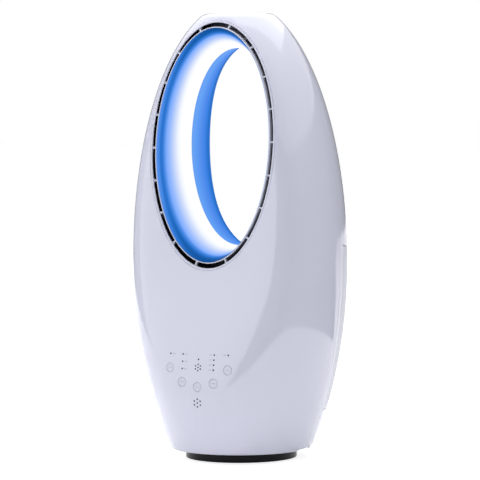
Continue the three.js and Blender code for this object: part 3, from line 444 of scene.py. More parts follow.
def cut(obj, cutter):
    """Takes the cutter out of obj. Faces of the old skin keep their smooth shading."""
    before = obj.data.copy()
    vertices = [v.co.copy() for v in before.vertices]
    polygons = [tuple(p.vertices) for p in before.polygons]
    normals = [v.normal.copy() for v in before.vertices]
    tree = BVHTree.FromPolygons(vertices, polygons)
    modifier = obj.modifiers.new("cut", "BOOLEAN")
    modifier.operation = "DIFFERENCE"
    modifier.solver = "EXACT"
    modifier.object = cutter
    evaluated = obj.evaluated_get(bpy.context.evaluated_depsgraph_get())
    result = bpy.data.meshes.new_from_object(evaluated)
    obj.modifiers.clear()
    obj.data = result
    bpy.data.objects.remove(cutter)
    custom = [Vector((0, 0, 1))] * len(result.loops)
    for polygon in result.polygons:
        polygon.use_smooth = True
        for index in polygon.loop_indices:
            point = result.vertices[result.loops[index].vertex_index].co
            place, flat, face, distance = tree.find_nearest(point)
            normal = polygon.normal
            if distance < ON_SKIN and flat.dot(polygon.normal) > SKIN_AGREES:
                corners = polygons[face]
                weights = poly_3d_calc([vertices[k] for k in corners], place)
                blended = sum((normals[k] * w for k, w in zip(corners, weights)), Vector())
                if blended.dot(polygon.normal) > SMOOTH_AGREES:
                    normal = blended.normalized()
            custom[index] = normal
    result.normals_split_custom_set(custom)
    return obj


def crease(obj):
    """Smooth shading with creases where faces meet at a sharp angle."""
    obj.data.set_sharp_from_angle(angle=CREASE_LIMIT)
    return obj


# ---- shells ----
SHEET_TILT = math.radians(112)  # beyond what any ray from the oval's centre needs
CORNER_REACH = np.radians(np.arange(-9, 9.1, 0.45))
CORNER_GAP = math.radians(0.12)
BORDER_ROWS = np.array([0.7, 0.35, 0.12, 0.0])
INNER_STEP = 6  # the inner skin keeps every sixth row
GRID_BORDER = np.array([0, 0.0008, 0.0022])
GRID_INNER = (0.005, 0.995)
CUT_REACH = 10.0  # how far a cutter stands out of the surface
SCREW_CUT = 30.0
SOCKET_CUT = 20.0


def oval_angle(edge, x, z):
    """Angle at which a line from the slot's centre towards a point crosses the oval."""
    angles = np.linspace(-math.pi, math.pi, 7201)
    line_x, line_z = oval_line(edge, angles)
    turns = np.unwrap(np.arctan2(line_z - OVAL_Z, line_x))
    turn = math.atan2(z - OVAL_Z, x)
    return float(np.interp(turn, turns, angles, period=2 * math.pi))


def column_angles(edge, seam):
    """Angles round the oval: finer towards the flat top's corners, one on each lower corner."""
    angles = turns_round(COLUMNS)
    corner_x = math.sqrt(TOP_RADIUS**2 - seam**2)
    for side in (-1, 1):
        angles = np.append(angles, oval_angle(edge, side * corner_x, TOWER_TOP) + CORNER_REACH)
    angles = np.unique(np.round(angles % (2 * math.pi), 9))
    angles = angles[np.append(True, np.diff(angles) > CORNER_GAP)]
    low_radius = BOTTOM_RADIUS - BOTTOM_EDGE
    low_x = math.sqrt(low_radius**2 - seam**2)
    for side in (-1, 1):
        corner = oval_angle(edge, side * low_x, SHELL_BOTTOM) % (2 * math.pi)
        angles[np.argmin(np.abs(angles - corner))] = corner
    return np.sort(angles)


def fine_sheet(edge, side, seam):
    """Densely sampled outer skin from the oval's edge to the seam or the lower edge."""
    angles = column_angles(edge, seam)
    x, z = oval_line(edge, angles)
    turn = np.arctan2(z - OVAL_Z, x)
    start = np.arctan2(np.hypot(x, z - OVAL_Z), surface_depth(x, z))

    def kept(tilt):
        point = hit(turn, tilt, side)
        return (side * point[:, 1] > side * seam) & (point[:, 2] > SHELL_BOTTOM)

    low = bisected(start, np.full(start.shape, SHEET_TILT), kept)
    shares = np.linspace(0, 1, SAMPLES)[:, None]
    return hit(turn[None, :], start + (low - start) * shares, side)


def resampled(sheet, near_edge):
    """Rows at set distances from the oval's edge, then evenly spaced to the border."""
    steps = np.linalg.norm(np.diff(sheet, axis=0), axis=-1)
    travelled = np.vstack([np.zeros(sheet.shape[1]), np.cumsum(steps, axis=0)])
    columns, places = [], []
    for j, total in enumerate(travelled[-1]):
        middle = np.linspace(near_edge[-1], total - BORDER_ROWS[0], ROWS + 1)[1:-1]
        where = np.concatenate([near_edge, middle, total - BORDER_ROWS])
        columns.append([np.interp(where, travelled[:, j], sheet[:, j, k]) for k in range(3)])
        places.append(where)
    return np.array(columns).transpose(2, 0, 1), np.array(places).T


def edge_profile(distance, to_border, groove):
    """How deep the skin sinks at the rounded edge, the trim line and the seam's small bevel."""
    sink = round_off(SLOT_FILLET - distance, SLOT_FILLET)
    if groove:
        off = np.abs(distance - TRIM_LINE) / (TRIM_LINE_WIDTH / 2)
        sink = sink + TRIM_LINE_DEPTH * np.clip(TRIM_LINE_SLOPE * (1 - off), 0, 1)
    return sink + round_off(SEAM_BEVEL - to_border, SEAM_BEVEL)


def near_edge_rows(groove):
    """Distances from the oval's edge of the skin's first rows, close together at the groove."""
    rows = [0, 0.08, 0.25, 0.5, 0.85, 1.2, 1.7, 2.2]
    if groove:
        half = TRIM_LINE_WIDTH / 2
        for off in (-half - 0.2, -half, -0.4 * half, 0, 0.4 * half, half, half + 0.2):
            rows.append(TRIM_LINE + off)
    return np.array(rows + [4.6, 6.0, 8.0])


def shell_skin(edge, side, groove):
    """The shell as a ring of rings: outer skin out to the border, inner skin back to the oval."""
    seam = SEAM_Y + side * GAP / 2
    outer, places = resampled(fine_sheet(edge, side, seam), near_edge_rows(groove))
    to_border = places[-1] - places
    normals = outward(outer)
    sunk = outer - normals * edge_profile(places, to_border, groove)[..., None]
    inner = outer - normals * WALL
    ends_low = np.abs(outer[-1, :, 2] - SHELL_BOTTOM) < 0.01
    ends_seam = np.abs(outer[-1, :, 1] - seam) < 0.01
    inner[-1, ends_low, 2] = SHELL_BOTTOM
    inner[-1, ends_seam, 1] = seam
    inner[0] = outer[0] - [[0, side, 0]] * (WALL / np.abs(normals[0, :, 1]))[:, None]
    chosen = sorted(set(range(0, len(inner), INNER_STEP)) | {len(inner) - 1})
    return Skin().looped(np.concatenate([sunk, inner[chosen][::-1]]))


def round_about(x, z, radius, count):
    cos, sin = circle(count)
    return x + radius * cos, z + radius * sin


def y_ring(x, z, radius, y=None, count=32):
    """Ring of points about a line along Y; without y it lies within the rear shell's wall."""
    px, pz = round_about(x, z, radius, count)
    py = surface_depth(px, pz) - WALL / 2 if y is None else np.full(count, float(y))
    return np.stack([px, py, pz], -1)


def y_pin(skin, radius, x, z, low, high, count=32):
    return skin.capped([y_ring(x, z, radius, y, count) for y in (low, high)])


PANEL_TILT = math.atan(float(surface_depth(0, PANEL_Z - 1) - surface_depth(0, PANEL_Z + 1)) / 2)
PANEL_ORIGIN = np.array([0, -float(surface_depth(0, PANEL_Z)), PANEL_Z])
PANEL_IN = np.array([0, math.cos(PANEL_TILT), -math.sin(PANEL_TILT)])
PANEL_UP = np.array([0, math.sin(PANEL_TILT), math.cos(PANEL_TILT)])
PANEL_SEARCH = 20.0  # how far from the panel's plane its surface is looked for


def on_panel(x, w, depth):
    """Point x to the right, w up the panel and depth into it."""
    x, w, depth = same_shape(x, w, depth)
    across = np.stack([x, 0 * x, 0 * x], -1)
    return PANEL_ORIGIN + across + w[..., None] * PANEL_UP + depth[..., None] * PANEL_IN


def panel_w(z):
    return (z - PANEL_Z) / math.cos(PANEL_TILT)


def panel_sink(x, w):
    """How deep below the panel's plane the shell's surface lies."""
    x, w = same_shape(x, w)
    reach = np.full(x.shape, PANEL_SEARCH)
    return bisected(-reach, reach, lambda depth: beyond_at(on_panel(x, w, depth)) > 0)


def flat_ring(x, w, radius, depth, count=KEY_COLUMNS):
    """Ring about a point of the panel, at a depth below the panel's plane."""
    return on_panel(*round_about(x, w, radius, count), depth)


def sunk_ring(x, w, radius, drop, count=KEY_COLUMNS):
    """Ring about a point of the panel that lies below the shell's surface by an even drop."""
    px, pw = round_about(x, w, radius, count)
    return on_panel(px, pw, panel_sink(px, pw) + drop)


def key_place(degrees):
    angle = math.radians(degrees)
    z = KEY_ARC_BOTTOM_Z + KEY_ARC_RADIUS * (1 - math.cos(angle))
    return KEY_ARC_RADIUS * math.sin(angle), panel_w(z)


def six_round(radius):
    """Offsets of six marks evenly round a centre."""
    turns = [math.radians(60 * k) for k in range(6)]
    return [(radius * math.sin(a), radius * math.cos(a)) for a in turns]


def sound_holes():
    return [(x, SOUND_HOLE_Z + z) for x, z in [(0, 0)] + six_round(SOUND_HOLE_CIRCLE)]


def front_cutter():
    cutter = Skin()
    for degrees in KEYS.values():
        x, w = key_place(degrees)
        sink = float(panel_sink(x, w))
        depths = (sink - CUT_REACH / 2, sink + 2 * KEY_DEPTH)
        cutter.capped([flat_ring(x, w, KEY_RADIUS + GAP, depth, 64) for depth in depths])
    for x, z in sound_holes():
        front = -float(surface_depth(x, z))
        y_pin(cutter, SOUND_HOLE_RADIUS, x, z, front - 4, front + 2 * WALL, DOT_SIDES)
    return cutter.build("front_cutter")


def front_shell():
    return cut(shell_skin(SLOT_OUTER, -1, groove=True).build("front_casing"), front_cutter())


def grille_top(angle):
    turn = (angle - GRILLE_ANGLE) / (math.pi - 2 * GRILLE_ANGLE)
    sag = np.sin(math.pi * np.clip(turn, 0, 1)) ** 1.5
    return GRILLE_SIDE_TOP - (GRILLE_SIDE_TOP - GRILLE_REAR_TOP) * sag


def wrapped(angle, z, inset):
    radius = section_radius(angle, z) - inset
    return np.stack([radius * np.cos(angle), radius * np.sin(angle), z + 0 * angle], -1)


def grille_grid(margin, low, less_top, columns=200, rows=90):
    """Angles and heights of a panel's grid points, its border rows close together."""
    def spaced(count):
        return np.concatenate([GRID_BORDER, np.linspace(*GRID_INNER, count), 1 - GRID_BORDER[::-1]])

    across, up = spaced(columns), spaced(rows)
    angles = GRILLE_ANGLE + margin + (math.pi - 2 * (GRILLE_ANGLE + margin)) * across
    angle, share = np.meshgrid(angles, up)
    top = grille_top(angle) - less_top
    return angle, low + (top - low) * share


def screw_places():
    return [(side * x, z) for x, z in SHELL_SCREWS for side in (-1, 1)]


def rear_cutter():
    cutter = Skin()
    angle, z = grille_grid(0, GRILLE_BOTTOM, 0, columns=120, rows=40)
    cutter.slab(wrapped(angle, z, -3 * WALL), wrapped(angle, z, 4 * WALL))
    for x, z in screw_places():
        surface = float(surface_depth(x, z))
        y_pin(cutter, SCREW_HEAD_HOLE, x, z, surface - SCREW_CUT, surface + CUT_REACH)
    surface = float(surface_depth(0, SOCKET_Z))
    y_pin(cutter, SOCKET_RADIUS + GAP, 0, SOCKET_Z, surface - SOCKET_CUT, surface + CUT_REACH, 48)
    return cutter.build("rear_cutter")


def rear_shell():
    skin = shell_skin(grown(REAR_RIM, GAP), 1, groove=False)
    return cut(skin.build("rear_casing"), rear_cutter())


def screw_bosses():
    bosses = Skin()
    seam = SEAM_Y + GAP / 2
    floor = SCREW_HEAD_Y - GAP
    profile = [(SHELL_BOSS, seam), (SHELL_BOSS, None), (SCREW_HEAD_HOLE, None),
               (SCREW_HEAD_HOLE, floor), (SCREW_HOLE, floor), (SCREW_HOLE, seam)]
    for x, z in screw_places():
        bosses.looped([y_ring(x, z, radius, y) for radius, y in profile])
    return bosses.creased("screw_bosses")


def louvre_outline(low, high):
    """Upright slot with round ends: offsets across and heights."""
    half = LOUVRE_WIDTH / 2
    turn = np.linspace(0, math.pi, 9)
    across, rise = half * np.cos(turn), half * np.sin(turn)
    return np.append(across, -across), np.append(high - half + rise, low + half - rise)


def louvre_cutter():
    cutter = Skin()
    first = GRILLE_ANGLE + LOUVRE_BORDER
    for angle in first + (math.pi - 2 * first) * (np.arange(LOUVRES) + 0.5) / LOUVRES:
        sideways = np.array([-math.sin(angle), math.cos(angle), 0])
        for row in SLOT_ROWS:
            across, z = louvre_outline(*row)
            shift = across[:, None] * sideways
            cutter.capped([wrapped(angle, z, inset) + shift for inset in (2 * WALL, -2 * WALL)])
    return cutter.build("louvre_cutter")


def intake_grille():
    margin = GAP / (EGG_RADIUS - 2 * WALL)
    angle, z = grille_grid(margin, GRILLE_BOTTOM + GAP, 2 * GAP)
    across = (angle - angle[:, :1]) * EGG_RADIUS
    sides = np.minimum(across, across[:, -1:] - across)
    edge = np.minimum(sides, np.minimum(z - z[:1], z[-1:] - z))
    sink = round_off(GRILLE_BEVEL - edge, GRILLE_BEVEL)
    skin = Skin().slab(wrapped(angle, z, sink), wrapped(angle, z, WALL))
    return cut(skin.build("intake_panel"), louvre_cutter())


# ---- oval opening ----
UNLIT = 0.02  # glow below this gives no light
FLARE_ROWS = 44
FLARE_CROWDING = 1.2  # rows lie closer together towards the rim
FLARE_BACK_ROWS = 10
# stretch of the colour run round the ring, by 1, sin, sin squared and cos of the angle
RUN_STRETCH = (1.06, 0.16, 0.06, -0.03)
PAINTED_SHADE_RIM = 0.05  # painted shade under the lip: at the top and bottom the run starts only here,
PAINTED_SHADE_LENGTH = 0.31  # and has left the painted shade after this length
# at the sides: share of the way from the rim, and the place in the colour run there, paler right at
# the rim as a painted highlight
SIDE_HIGHLIGHT_SHARES = (0, 0.05, 0.085, 0.12, 0.155, 0.185, 0.22, 0.3)
SIDE_HIGHLIGHT_PLACES = (0.26, 0.235, 0.165, 0.1, 0.1, 0.145, 0.21, 0.3)
CARRIER_FRONT = (0.13, 0.25, 0.4, 0.6, 0.8, 1)
CARRIER_REAR = (0.8, 0.5, 0.3, 0.1)
RIB_SEARCH = 12.0  # longer than any rib
RIB_STATIONS = 13
RIB_STEPS = 40


def glow_place(share):
    """Place in the colour run all round the ring. Painted shade darkens the rim at the top and
    bottom, and a painted highlight makes its edge paler at the sides."""
    cos, sin = circle(RING_COLUMNS)
    even, rise, ends, turn = RUN_STRETCH
    reached = np.clip(share * (even + rise * sin + ends * sin**2 + turn * cos), 0, 1)
    at_ends = sin**4
    # painted shade: the run is held back near the rim at the top and bottom
    out_of_shade = np.clip((reached - PAINTED_SHADE_RIM) / PAINTED_SHADE_LENGTH, 0, 1)
    shaded_place = reached * (out_of_shade**2 * (3 - 2 * out_of_shade)) ** at_ends
    # painted highlight: a paler edge along the rim at the sides
    side = np.interp(reached, SIDE_HIGHLIGHT_SHARES, SIDE_HIGHLIGHT_PLACES) - reached
    return shaded_place + np.where(reached < SIDE_HIGHLIGHT_SHARES[-1], side, 0) * (1 - at_ends)


def light_ring(name, size, y_at, throat_y):
    """A light ring: the lit flare from its rim to the throat, and the back skin. The glow stored
    at its points is their place in the colour run, and 0 on the unlit back."""
    rim = oval(size, y_at(LIP_RECESS))
    rim_back = oval(grown(size, -LIGHT_RIM_DRAFT), y_at(LIP_RECESS + LIGHT_WALL))
    inner, outer = throat_ring(0, throat_y), throat_ring(LIGHT_WALL, throat_y)
    shares = np.linspace(0, 1, FLARE_ROWS) ** FLARE_CROWDING
    lit = [between(rim, inner, share) for share in shares]
    back = [between(rim_back, outer, share) for share in np.linspace(1, 0, FLARE_BACK_ROWS)]
    glow = [UNLIT + (1 - UNLIT) * glow_place(share) for share in shares]
    glow += [np.zeros(RING_COLUMNS)] * len(back)
    ring = Skin().looped(lit + back).creased(name)
    attribute = ring.data.attributes.new("glow", "FLOAT", "POINT")
    attribute.data.foreach_set("value", np.array(glow, np.float32).ravel())
    return ring


def stand_off(edge, edge_y, share, less):
    """Ring that follows the flare, standing off by a clearance that grows towards the throat."""
    amount = LIP_BAND + (CARRIER_CLEARANCE - LIP_BAND) * share**0.7 - less
    return between(oval(grown(edge, amount), edge_y), throat_ring(amount, THROAT_Y), share)


def light_carrier():
    places = [(SLOT_INNER, front_y(LIP_RECESS), share) for share in CARRIER_FRONT]
    places += [(REAR_RIM, rear_y(LIP_RECESS), share) for share in CARRIER_REAR]
    outer = [stand_off(*place, 0) for place in places]
    inner = [stand_off(*place, CARRIER_WALL) for place in places]
    return Skin().looped(outer + inner[::-1]).creased("slot_core")


def nozzle_liner():
    near = grown(SLOT_OUTER, GAP)
    start, back = front_y(WALL + 2), front_y(WALL + 2 + LINER_DEPTH)
    rings = [oval(near, start), oval(grown(near, LINER_WALL), start),
             oval(grown(near, LINER_WALL + 1), back), oval(grown(near, 1), back)]
    return Skin().looped(rings).creased("slot_liner")


def rib_angles(size):
    """Angles of the ribs, at equal arc lengths round the oval, with a gap at the top."""
    angle = math.pi / 2 + np.linspace(0, 2 * math.pi, 3601)
    points = np.stack(oval_line(size, angle), -1)
    travelled = np.append(0, np.cumsum(np.linalg.norm(np.diff(points, axis=0), axis=-1)))
    places = (np.arange(RIB_COUNT) + 0.5 + RIB_SHIFT) * travelled[-1] / RIB_COUNT
    return np.interp(places, travelled, angle)


def add_rib(skin, angle):
    """One bar across the slot, its ends flared so that the slot's corners are round."""
    start = grown(SLOT_INNER, (BAND_INNER + BAND_OUTER) / 2)
    origin = np.array([start.x * math.cos(angle), start.z * math.sin(angle)])
    out = np.array([math.cos(angle) / start.x, math.sin(angle) / start.z])
    out /= np.linalg.norm(out)
    along = np.array([-out[1], out[0]])
    outer = grown(SLOT_OUTER, -GAP)

    def inside(reach):
        x, z = origin + out * reach
        return (x / outer.x) ** 2 + (z / outer.z) ** 2 < 1

    length = bisected(0.0, RIB_SEARCH, inside, RIB_STEPS)
    depth = RIB_DEPTH - (RIB_RECESS - LIP_RECESS)
    rings = []
    for share in np.linspace(0, 1, RIB_STATIONS):
        to_end = min(share, 1 - share) * length
        half = RIB_WIDTH / 2 + RIB_FLARE * (1 - min(1, to_end / RIB_FLARE_LENGTH)) ** 2
        corners = [(RIB_EDGE - half, 0), (half - RIB_EDGE, 0), (half, RIB_EDGE), (half, depth),
                   (-half, depth), (-half, RIB_EDGE)]
        x, z = origin + out * length * share
        front = -float(surface_depth(x, OVAL_Z + z)) + RIB_RECESS
        rings.append([(x + along[0] * a, front + b, OVAL_Z + z + along[1] * a) for a, b in corners])
    skin.capped(rings)


def outlet_spacer():
    """White band round the lip with the bars that reach across the slot."""
    inner, outer = grown(SLOT_INNER, BAND_INNER), grown(SLOT_INNER, BAND_OUTER)
    profile = [(inner, BAND_EDGE), (grown(inner, BAND_EDGE), 0), (grown(outer, -BAND_EDGE), 0),
               (outer, BAND_EDGE), (outer, RIB_DEPTH), (inner, RIB_DEPTH)]
    skin = Skin().looped([oval(size, front_y(LIP_RECESS + behind)) for size, behind in profile])
    for angle in rib_angles(grown(SLOT_INNER, LIP_BAND / 2)):
        add_rib(skin, angle)
    return skin.creased("slot_bars")


# ---- keys and marks ----
def mark_corners(half):
    """Section of a printed line: offsets across it and depths."""
    return ((half, -MARK_PROUD), (-half, -MARK_PROUD), (-half, MARK_DEPTH), (half, MARK_DEPTH))


def key(name, degrees):
    """Round key whose face follows the shell, with a brim behind the wall and a stem."""
    x, w = key_place(degrees)
    back = float(panel_sink(x, w)) + KEY_DEPTH
    under = back + KEY_FLANGE
    brim = KEY_RADIUS + KEY_FLANGE
    behind_wall = panel_sink(*round_about(x, w, brim, KEY_COLUMNS)) + WALL + 2 * GAP
    front = np.maximum(back - KEY_FLANGE, behind_wall)
    rings = [sunk_ring(x, w, radius, drop) for radius, drop in KEY_FACE]
    brim_back = np.maximum(front + KEY_BRIM_LEAST, under)
    profile = ((KEY_RADIUS, front), (brim, front), (brim, brim_back), (KEY_STEM, under),
               (KEY_STEM, KEY_STEM_END))
    rings += [flat_ring(x, w, radius, depth) for radius, depth in profile]
    return Skin().capped(rings).creased(name + "_cap")


def add_bar(skin, x, w, length, height):
    """A thin inlaid strip along the panel with round ends."""
    rings = []
    for share in np.linspace(-1, 1, BAR_STATIONS):
        half = max(height / 2 * math.sqrt(1 - abs(share) ** 6), height / 12)
        place = x + share * length / 2
        rings.append([on_panel(place, w + up, float(panel_sink(place, w + up)) + drop)
                      for up, drop in mark_corners(half)])
    skin.capped(rings)


def add_dot(skin, x, z, radius):
    steps = ((0.5, -MARK_PROUD), (0.9, -MARK_PROUD), (1, 0.02), (1, MARK_DEPTH))
    w = panel_w(z)
    skin.capped([sunk_ring(x, w, radius * share, drop, DOT_SIDES) for share, drop in steps])


def key_mark(name, degrees):
    """Printed ring with a short bar on a key."""
    x, w = key_place(degrees)
    corners = mark_corners(-KEY_MARK_WIDTH / 2)
    skin = Skin().looped([sunk_ring(x, w, KEY_MARK_RADIUS + a, drop) for a, drop in corners])
    add_bar(skin, x, w, KEY_BAR_LENGTH, KEY_BAR_HEIGHT)
    return skin.build(name + "_mark")


def indicator_dots():
    skin = Skin()
    for x, heights in DOT_COLUMNS.items():
        for z in heights:
            add_dot(skin, x, z, DOT_RADIUS)
    for x, z in six_round(FLOWER_RADIUS) + [(0, 0)]:
        add_dot(skin, x, FLOWER_Z + z, FLOWER_DOT)
    return skin.build("indicator_dots")


def sound_felt():
    """Dark felt in the mouths of the sound holes."""
    skin = Skin()
    for x, z in sound_holes():
        front = -float(surface_depth(x, z))
        radius = SOUND_HOLE_RADIUS - FELT_CLEARANCE
        y_pin(skin, radius, x, z, front + FELT_RECESS, front + FELT_BACK, DOT_SIDES)
    return skin.creased("sound_felt")


def dot_labels():
    """A bar beside every dot but the middle one, on the side towards the panel's middle."""
    skin = Skin()
    for x, heights in DOT_COLUMNS.items():
        if x == 0:
            continue
        middle = x - math.copysign(LABEL_OFFSET, x)
        for z in heights:
            add_bar(skin, middle, panel_w(z), LABEL_LENGTH, LABEL_HEIGHT)
    return skin.build("dot_labels")


# ---- base and socket ----
def base_cover():
    inner = BASE_RADIUS - BASE_WALL
    under = BASE_TOP - BASE_WALL
    profile = rounded([(inner, BASE_LIFT), (BASE_RADIUS, BASE_LIFT), (BASE_RADIUS, BASE_TOP),
                       (COVER_HOLE, BASE_TOP), (COVER_HOLE, under), (inner, under)], BASE_EDGE)
    return Skin().looped(lathe(profile)).creased("base_disc")


def foot_ring():
    corners = [(FOOT_INNER, 0), (FOOT_OUTER, 0), (FOOT_OUTER, FOOT_HEIGHT),
               (FOOT_INNER, FOOT_HEIGHT)]
    return Skin().looped(lathe(rounded(corners, FOOT_EDGE))).creased("rubber_foot")


def power_socket():
    """Round socket with a bore and a centre pin, on a line along Y."""
    face = float(surface_depth(0, SOCKET_Z)) - SOCKET_RECESS
    front = face + SOCKET_RECESS - SOCKET_LENGTH
    pin_end = front + SOCKET_PIN_REACH
    profile = [(SOCKET_RADIUS, front), (SOCKET_RADIUS, face - SOCKET_EDGE),
               (SOCKET_RADIUS - SOCKET_EDGE, face), (SOCKET_BORE + SOCKET_MOUTH, face),
               (SOCKET_BORE, face - SOCKET_MOUTH), (SOCKET_BORE, front + SOCKET_FLOOR),
               (SOCKET_PIN, front + SOCKET_FLOOR), (SOCKET_PIN, pin_end),
               (SOCKET_PIN / 2, pin_end + SOCKET_PIN / 2)]
    rings = [y_ring(0, SOCKET_Z, radius, y, 48) for radius, y in profile]
    return Skin().capped(rings).creased("socket_insert")


# ---- materials ----
# noise: patterns in a metre, detail, and how much they are drawn in along each axis
MOTTLES = (9, 2)
GLOSS_PATCHES = (60, 3)
STREAKS = (60, 4, (1, 1, 30))
LIGHT_GRAIN = 500
GRAIN_DETAIL = 2
# colour runs of the light rings from the rim (0) to the throat (1): place, then 8-bit sRGB; the
# darkest stops by the rim show at the top and bottom as painted shade
FRONT_RUN = (
    (0.0, 8, 80, 152), (0.05, 26, 98, 180), (0.09, 40, 112, 200), (0.13, 48, 120, 213),
    (0.21, 79, 141, 230), (0.29, 128, 173, 252), (0.38, 156, 189, 253), (0.46, 187, 208, 250),
    (0.55, 216, 226, 250), (0.64, 242, 247, 255), (0.74, 255, 255, 255))
REAR_RUN = (
    (0.0, 24, 98, 180), (0.18, 42, 116, 206), (0.4, 62, 132, 231), (0.63, 84, 141, 234),
    (0.85, 92, 155, 243), (1.0, 104, 162, 242))


def linear(*srgb):
    """Linear colour from 8-bit sRGB values."""
    shares = [v / 255 for v in srgb]
    return tuple(v / 12.92 if v < 0.04 else ((v + 0.055) / 1.055) ** 2.4 for v in shares)


def add_node(beside, kind, values=None, **settings):
    """New node in the tree of another node or socket."""
    node = beside.id_data.nodes.new("ShaderNode" + kind)
    for name, value in settings.items():
        setattr(node, name, value)
    for name, value in (values or {}).items():
        node.inputs[name].default_value = value
    return node


def link(source, node, name):
    node.id_data.links.new(source, node.inputs[name])


def new_material(name, **values):
    """A node material whose constant values sit on the shader's own sockets."""
    material = bpy.data.materials.new(name)
    material.use_nodes = True
    material.cycles.emission_sampling = "NONE"  # a glow that is sampled as a lamp adds grain
    shader = material.node_tree.nodes["Principled BSDF"]
    for key_name, value in values.items():
        socket = shader.inputs[key_name.replace("_", " ")]
        socket.default_value = (*value, 1) if isinstance(value, tuple) else value
    return material, shader


def ramp(source, stops):
    node = add_node(source, "ValToRGB")
    elements = node.color_ramp.elements
    while len(elements) < len(stops):
        elements.new(0.5)
    for element, (place, colour) in zip(elements, stops):
        element.position = place
        element.color = (*colour, 1)
    link(source, node, 0)
    return node.outputs[0]


def shade(shader, source, srgb, *factors):
    """Colour that follows a pattern: places in the pattern, each with a factor on the colour."""
    colour = linear(*srgb)
    stops = [(place, tuple(min(1.0, c * factor) for c in colour)) for place, factor in factors]
    link(ramp(source, stops), shader, "Base Color")


def object_place(node):
    """Lays a texture node's pattern out in the object's own coordinates."""
    link(add_node(node, "TexCoord").outputs["Object"], node, "Vector")
    return node


def object_noise(beside, scale, detail, stretch=(1, 1, 1)):
    """Noise in patterns per metre."""
    mapping = object_place(add_node(beside, "Mapping", {"Scale": stretch}))
    noise = add_node(beside, "TexNoise", {"Scale": scale, "Detail": detail})
    link(mapping.outputs["Vector"], noise, "Vector")
    return noise.outputs[0]


def spread_roughness(shader, source, low, high):
    span = add_node(shader, "MapRange", {"To Min": low, "To Max": high})
    link(source, span, "Value")
    link(span.outputs[0], shader, "Roughness")


def add_bump(shader, source, distance):
    bump = add_node(shader, "Bump", {"Distance": distance, "Strength": 1.0})
    link(source, bump, "Height")
    link(bump.outputs[0], shader, "Normal")


def moulded(name, srgb, roughness, variation, grain=900, depth=0.00001, **values):
    """Moulded plastic: faint mottling of colour and gloss over a fine surface grain."""
    material, shader = new_material(name, **values)
    mottles = object_noise(shader, *MOTTLES)
    shade(shader, mottles, srgb, (0.3, 1 - variation), (0.7, 1 + variation / 2))
    spread_roughness(shader, object_noise(shader, *GLOSS_PATCHES), *roughness)
    if depth:
        add_bump(shader, object_noise(shader, grain, GRAIN_DETAIL), depth)
    return material


def metal(name, srgb, roughness):
    """Bare metal with faint streaks."""
    material, shader = new_material(name, Metallic=1.0)
    streaks = object_noise(shader, *STREAKS)
    shade(shader, streaks, srgb, (0.25, 0.8), (0.75, 1.1))
    spread_roughness(shader, streaks, *roughness)
    add_bump(shader, streaks, 0.00003)
    return material


def circuit(name):
    """Solder mask with copper lanes showing through it."""
    material, shader = new_material(name, Roughness=0.35)
    bricks = object_place(add_node(shader, "TexBrick", {
        "Scale": 120, "Mortar Size": 0.03, "Color1": (*linear(20, 84, 54), 1),
        "Color2": (*linear(24, 96, 62), 1), "Mortar": (*linear(52, 124, 84), 1)}))
    link(bricks.outputs["Color"], shader, "Base Color")
    add_bump(shader, bricks.outputs["Fac"], 0.00004)
    return material


def filter_cloth(name):
    """Fine mesh: two crossed sets of threads."""
    material, shader = new_material(name, Roughness=0.85)
    both = add_node(shader, "Math", operation="MULTIPLY")
    for k, direction in enumerate("XZ"):
        wave = add_node(shader, "TexWave", {"Scale": 260, "Distortion": 0.4},
                        bands_direction=direction)
        link(object_place(wave).outputs["Fac"], both, k)
    stops = [(0.1, linear(30, 31, 34)), (0.7, linear(96, 98, 104))]
    link(ramp(both.outputs[0], stops), shader, "Base Color")
    add_bump(shader, both.outputs[0], 0.0004)
    return material


def lit_plastic(name, run):
    """Translucent light ring: its own light changes colour from the rim to the throat, with painted
    shade and a painted highlight near the rim.
    """
    material, shader = new_material(
        name, Base_Color=linear(10, 18, 34), Roughness=0.35, IOR=1.02, Emission_Strength=1.0)
    glow = add_node(shader, "Attribute", attribute_name="glow")
    stops = [(UNLIT / 2, (0, 0, 0))]
    stops += [(UNLIT + (1 - UNLIT) * place, linear(*srgb)) for place, *srgb in run]
    link(ramp(glow.outputs["Fac"], stops), shader, "Emission Color")
    add_bump(shader, object_noise(shader, LIGHT_GRAIN, GRAIN_DETAIL), 0.00001)
    return material


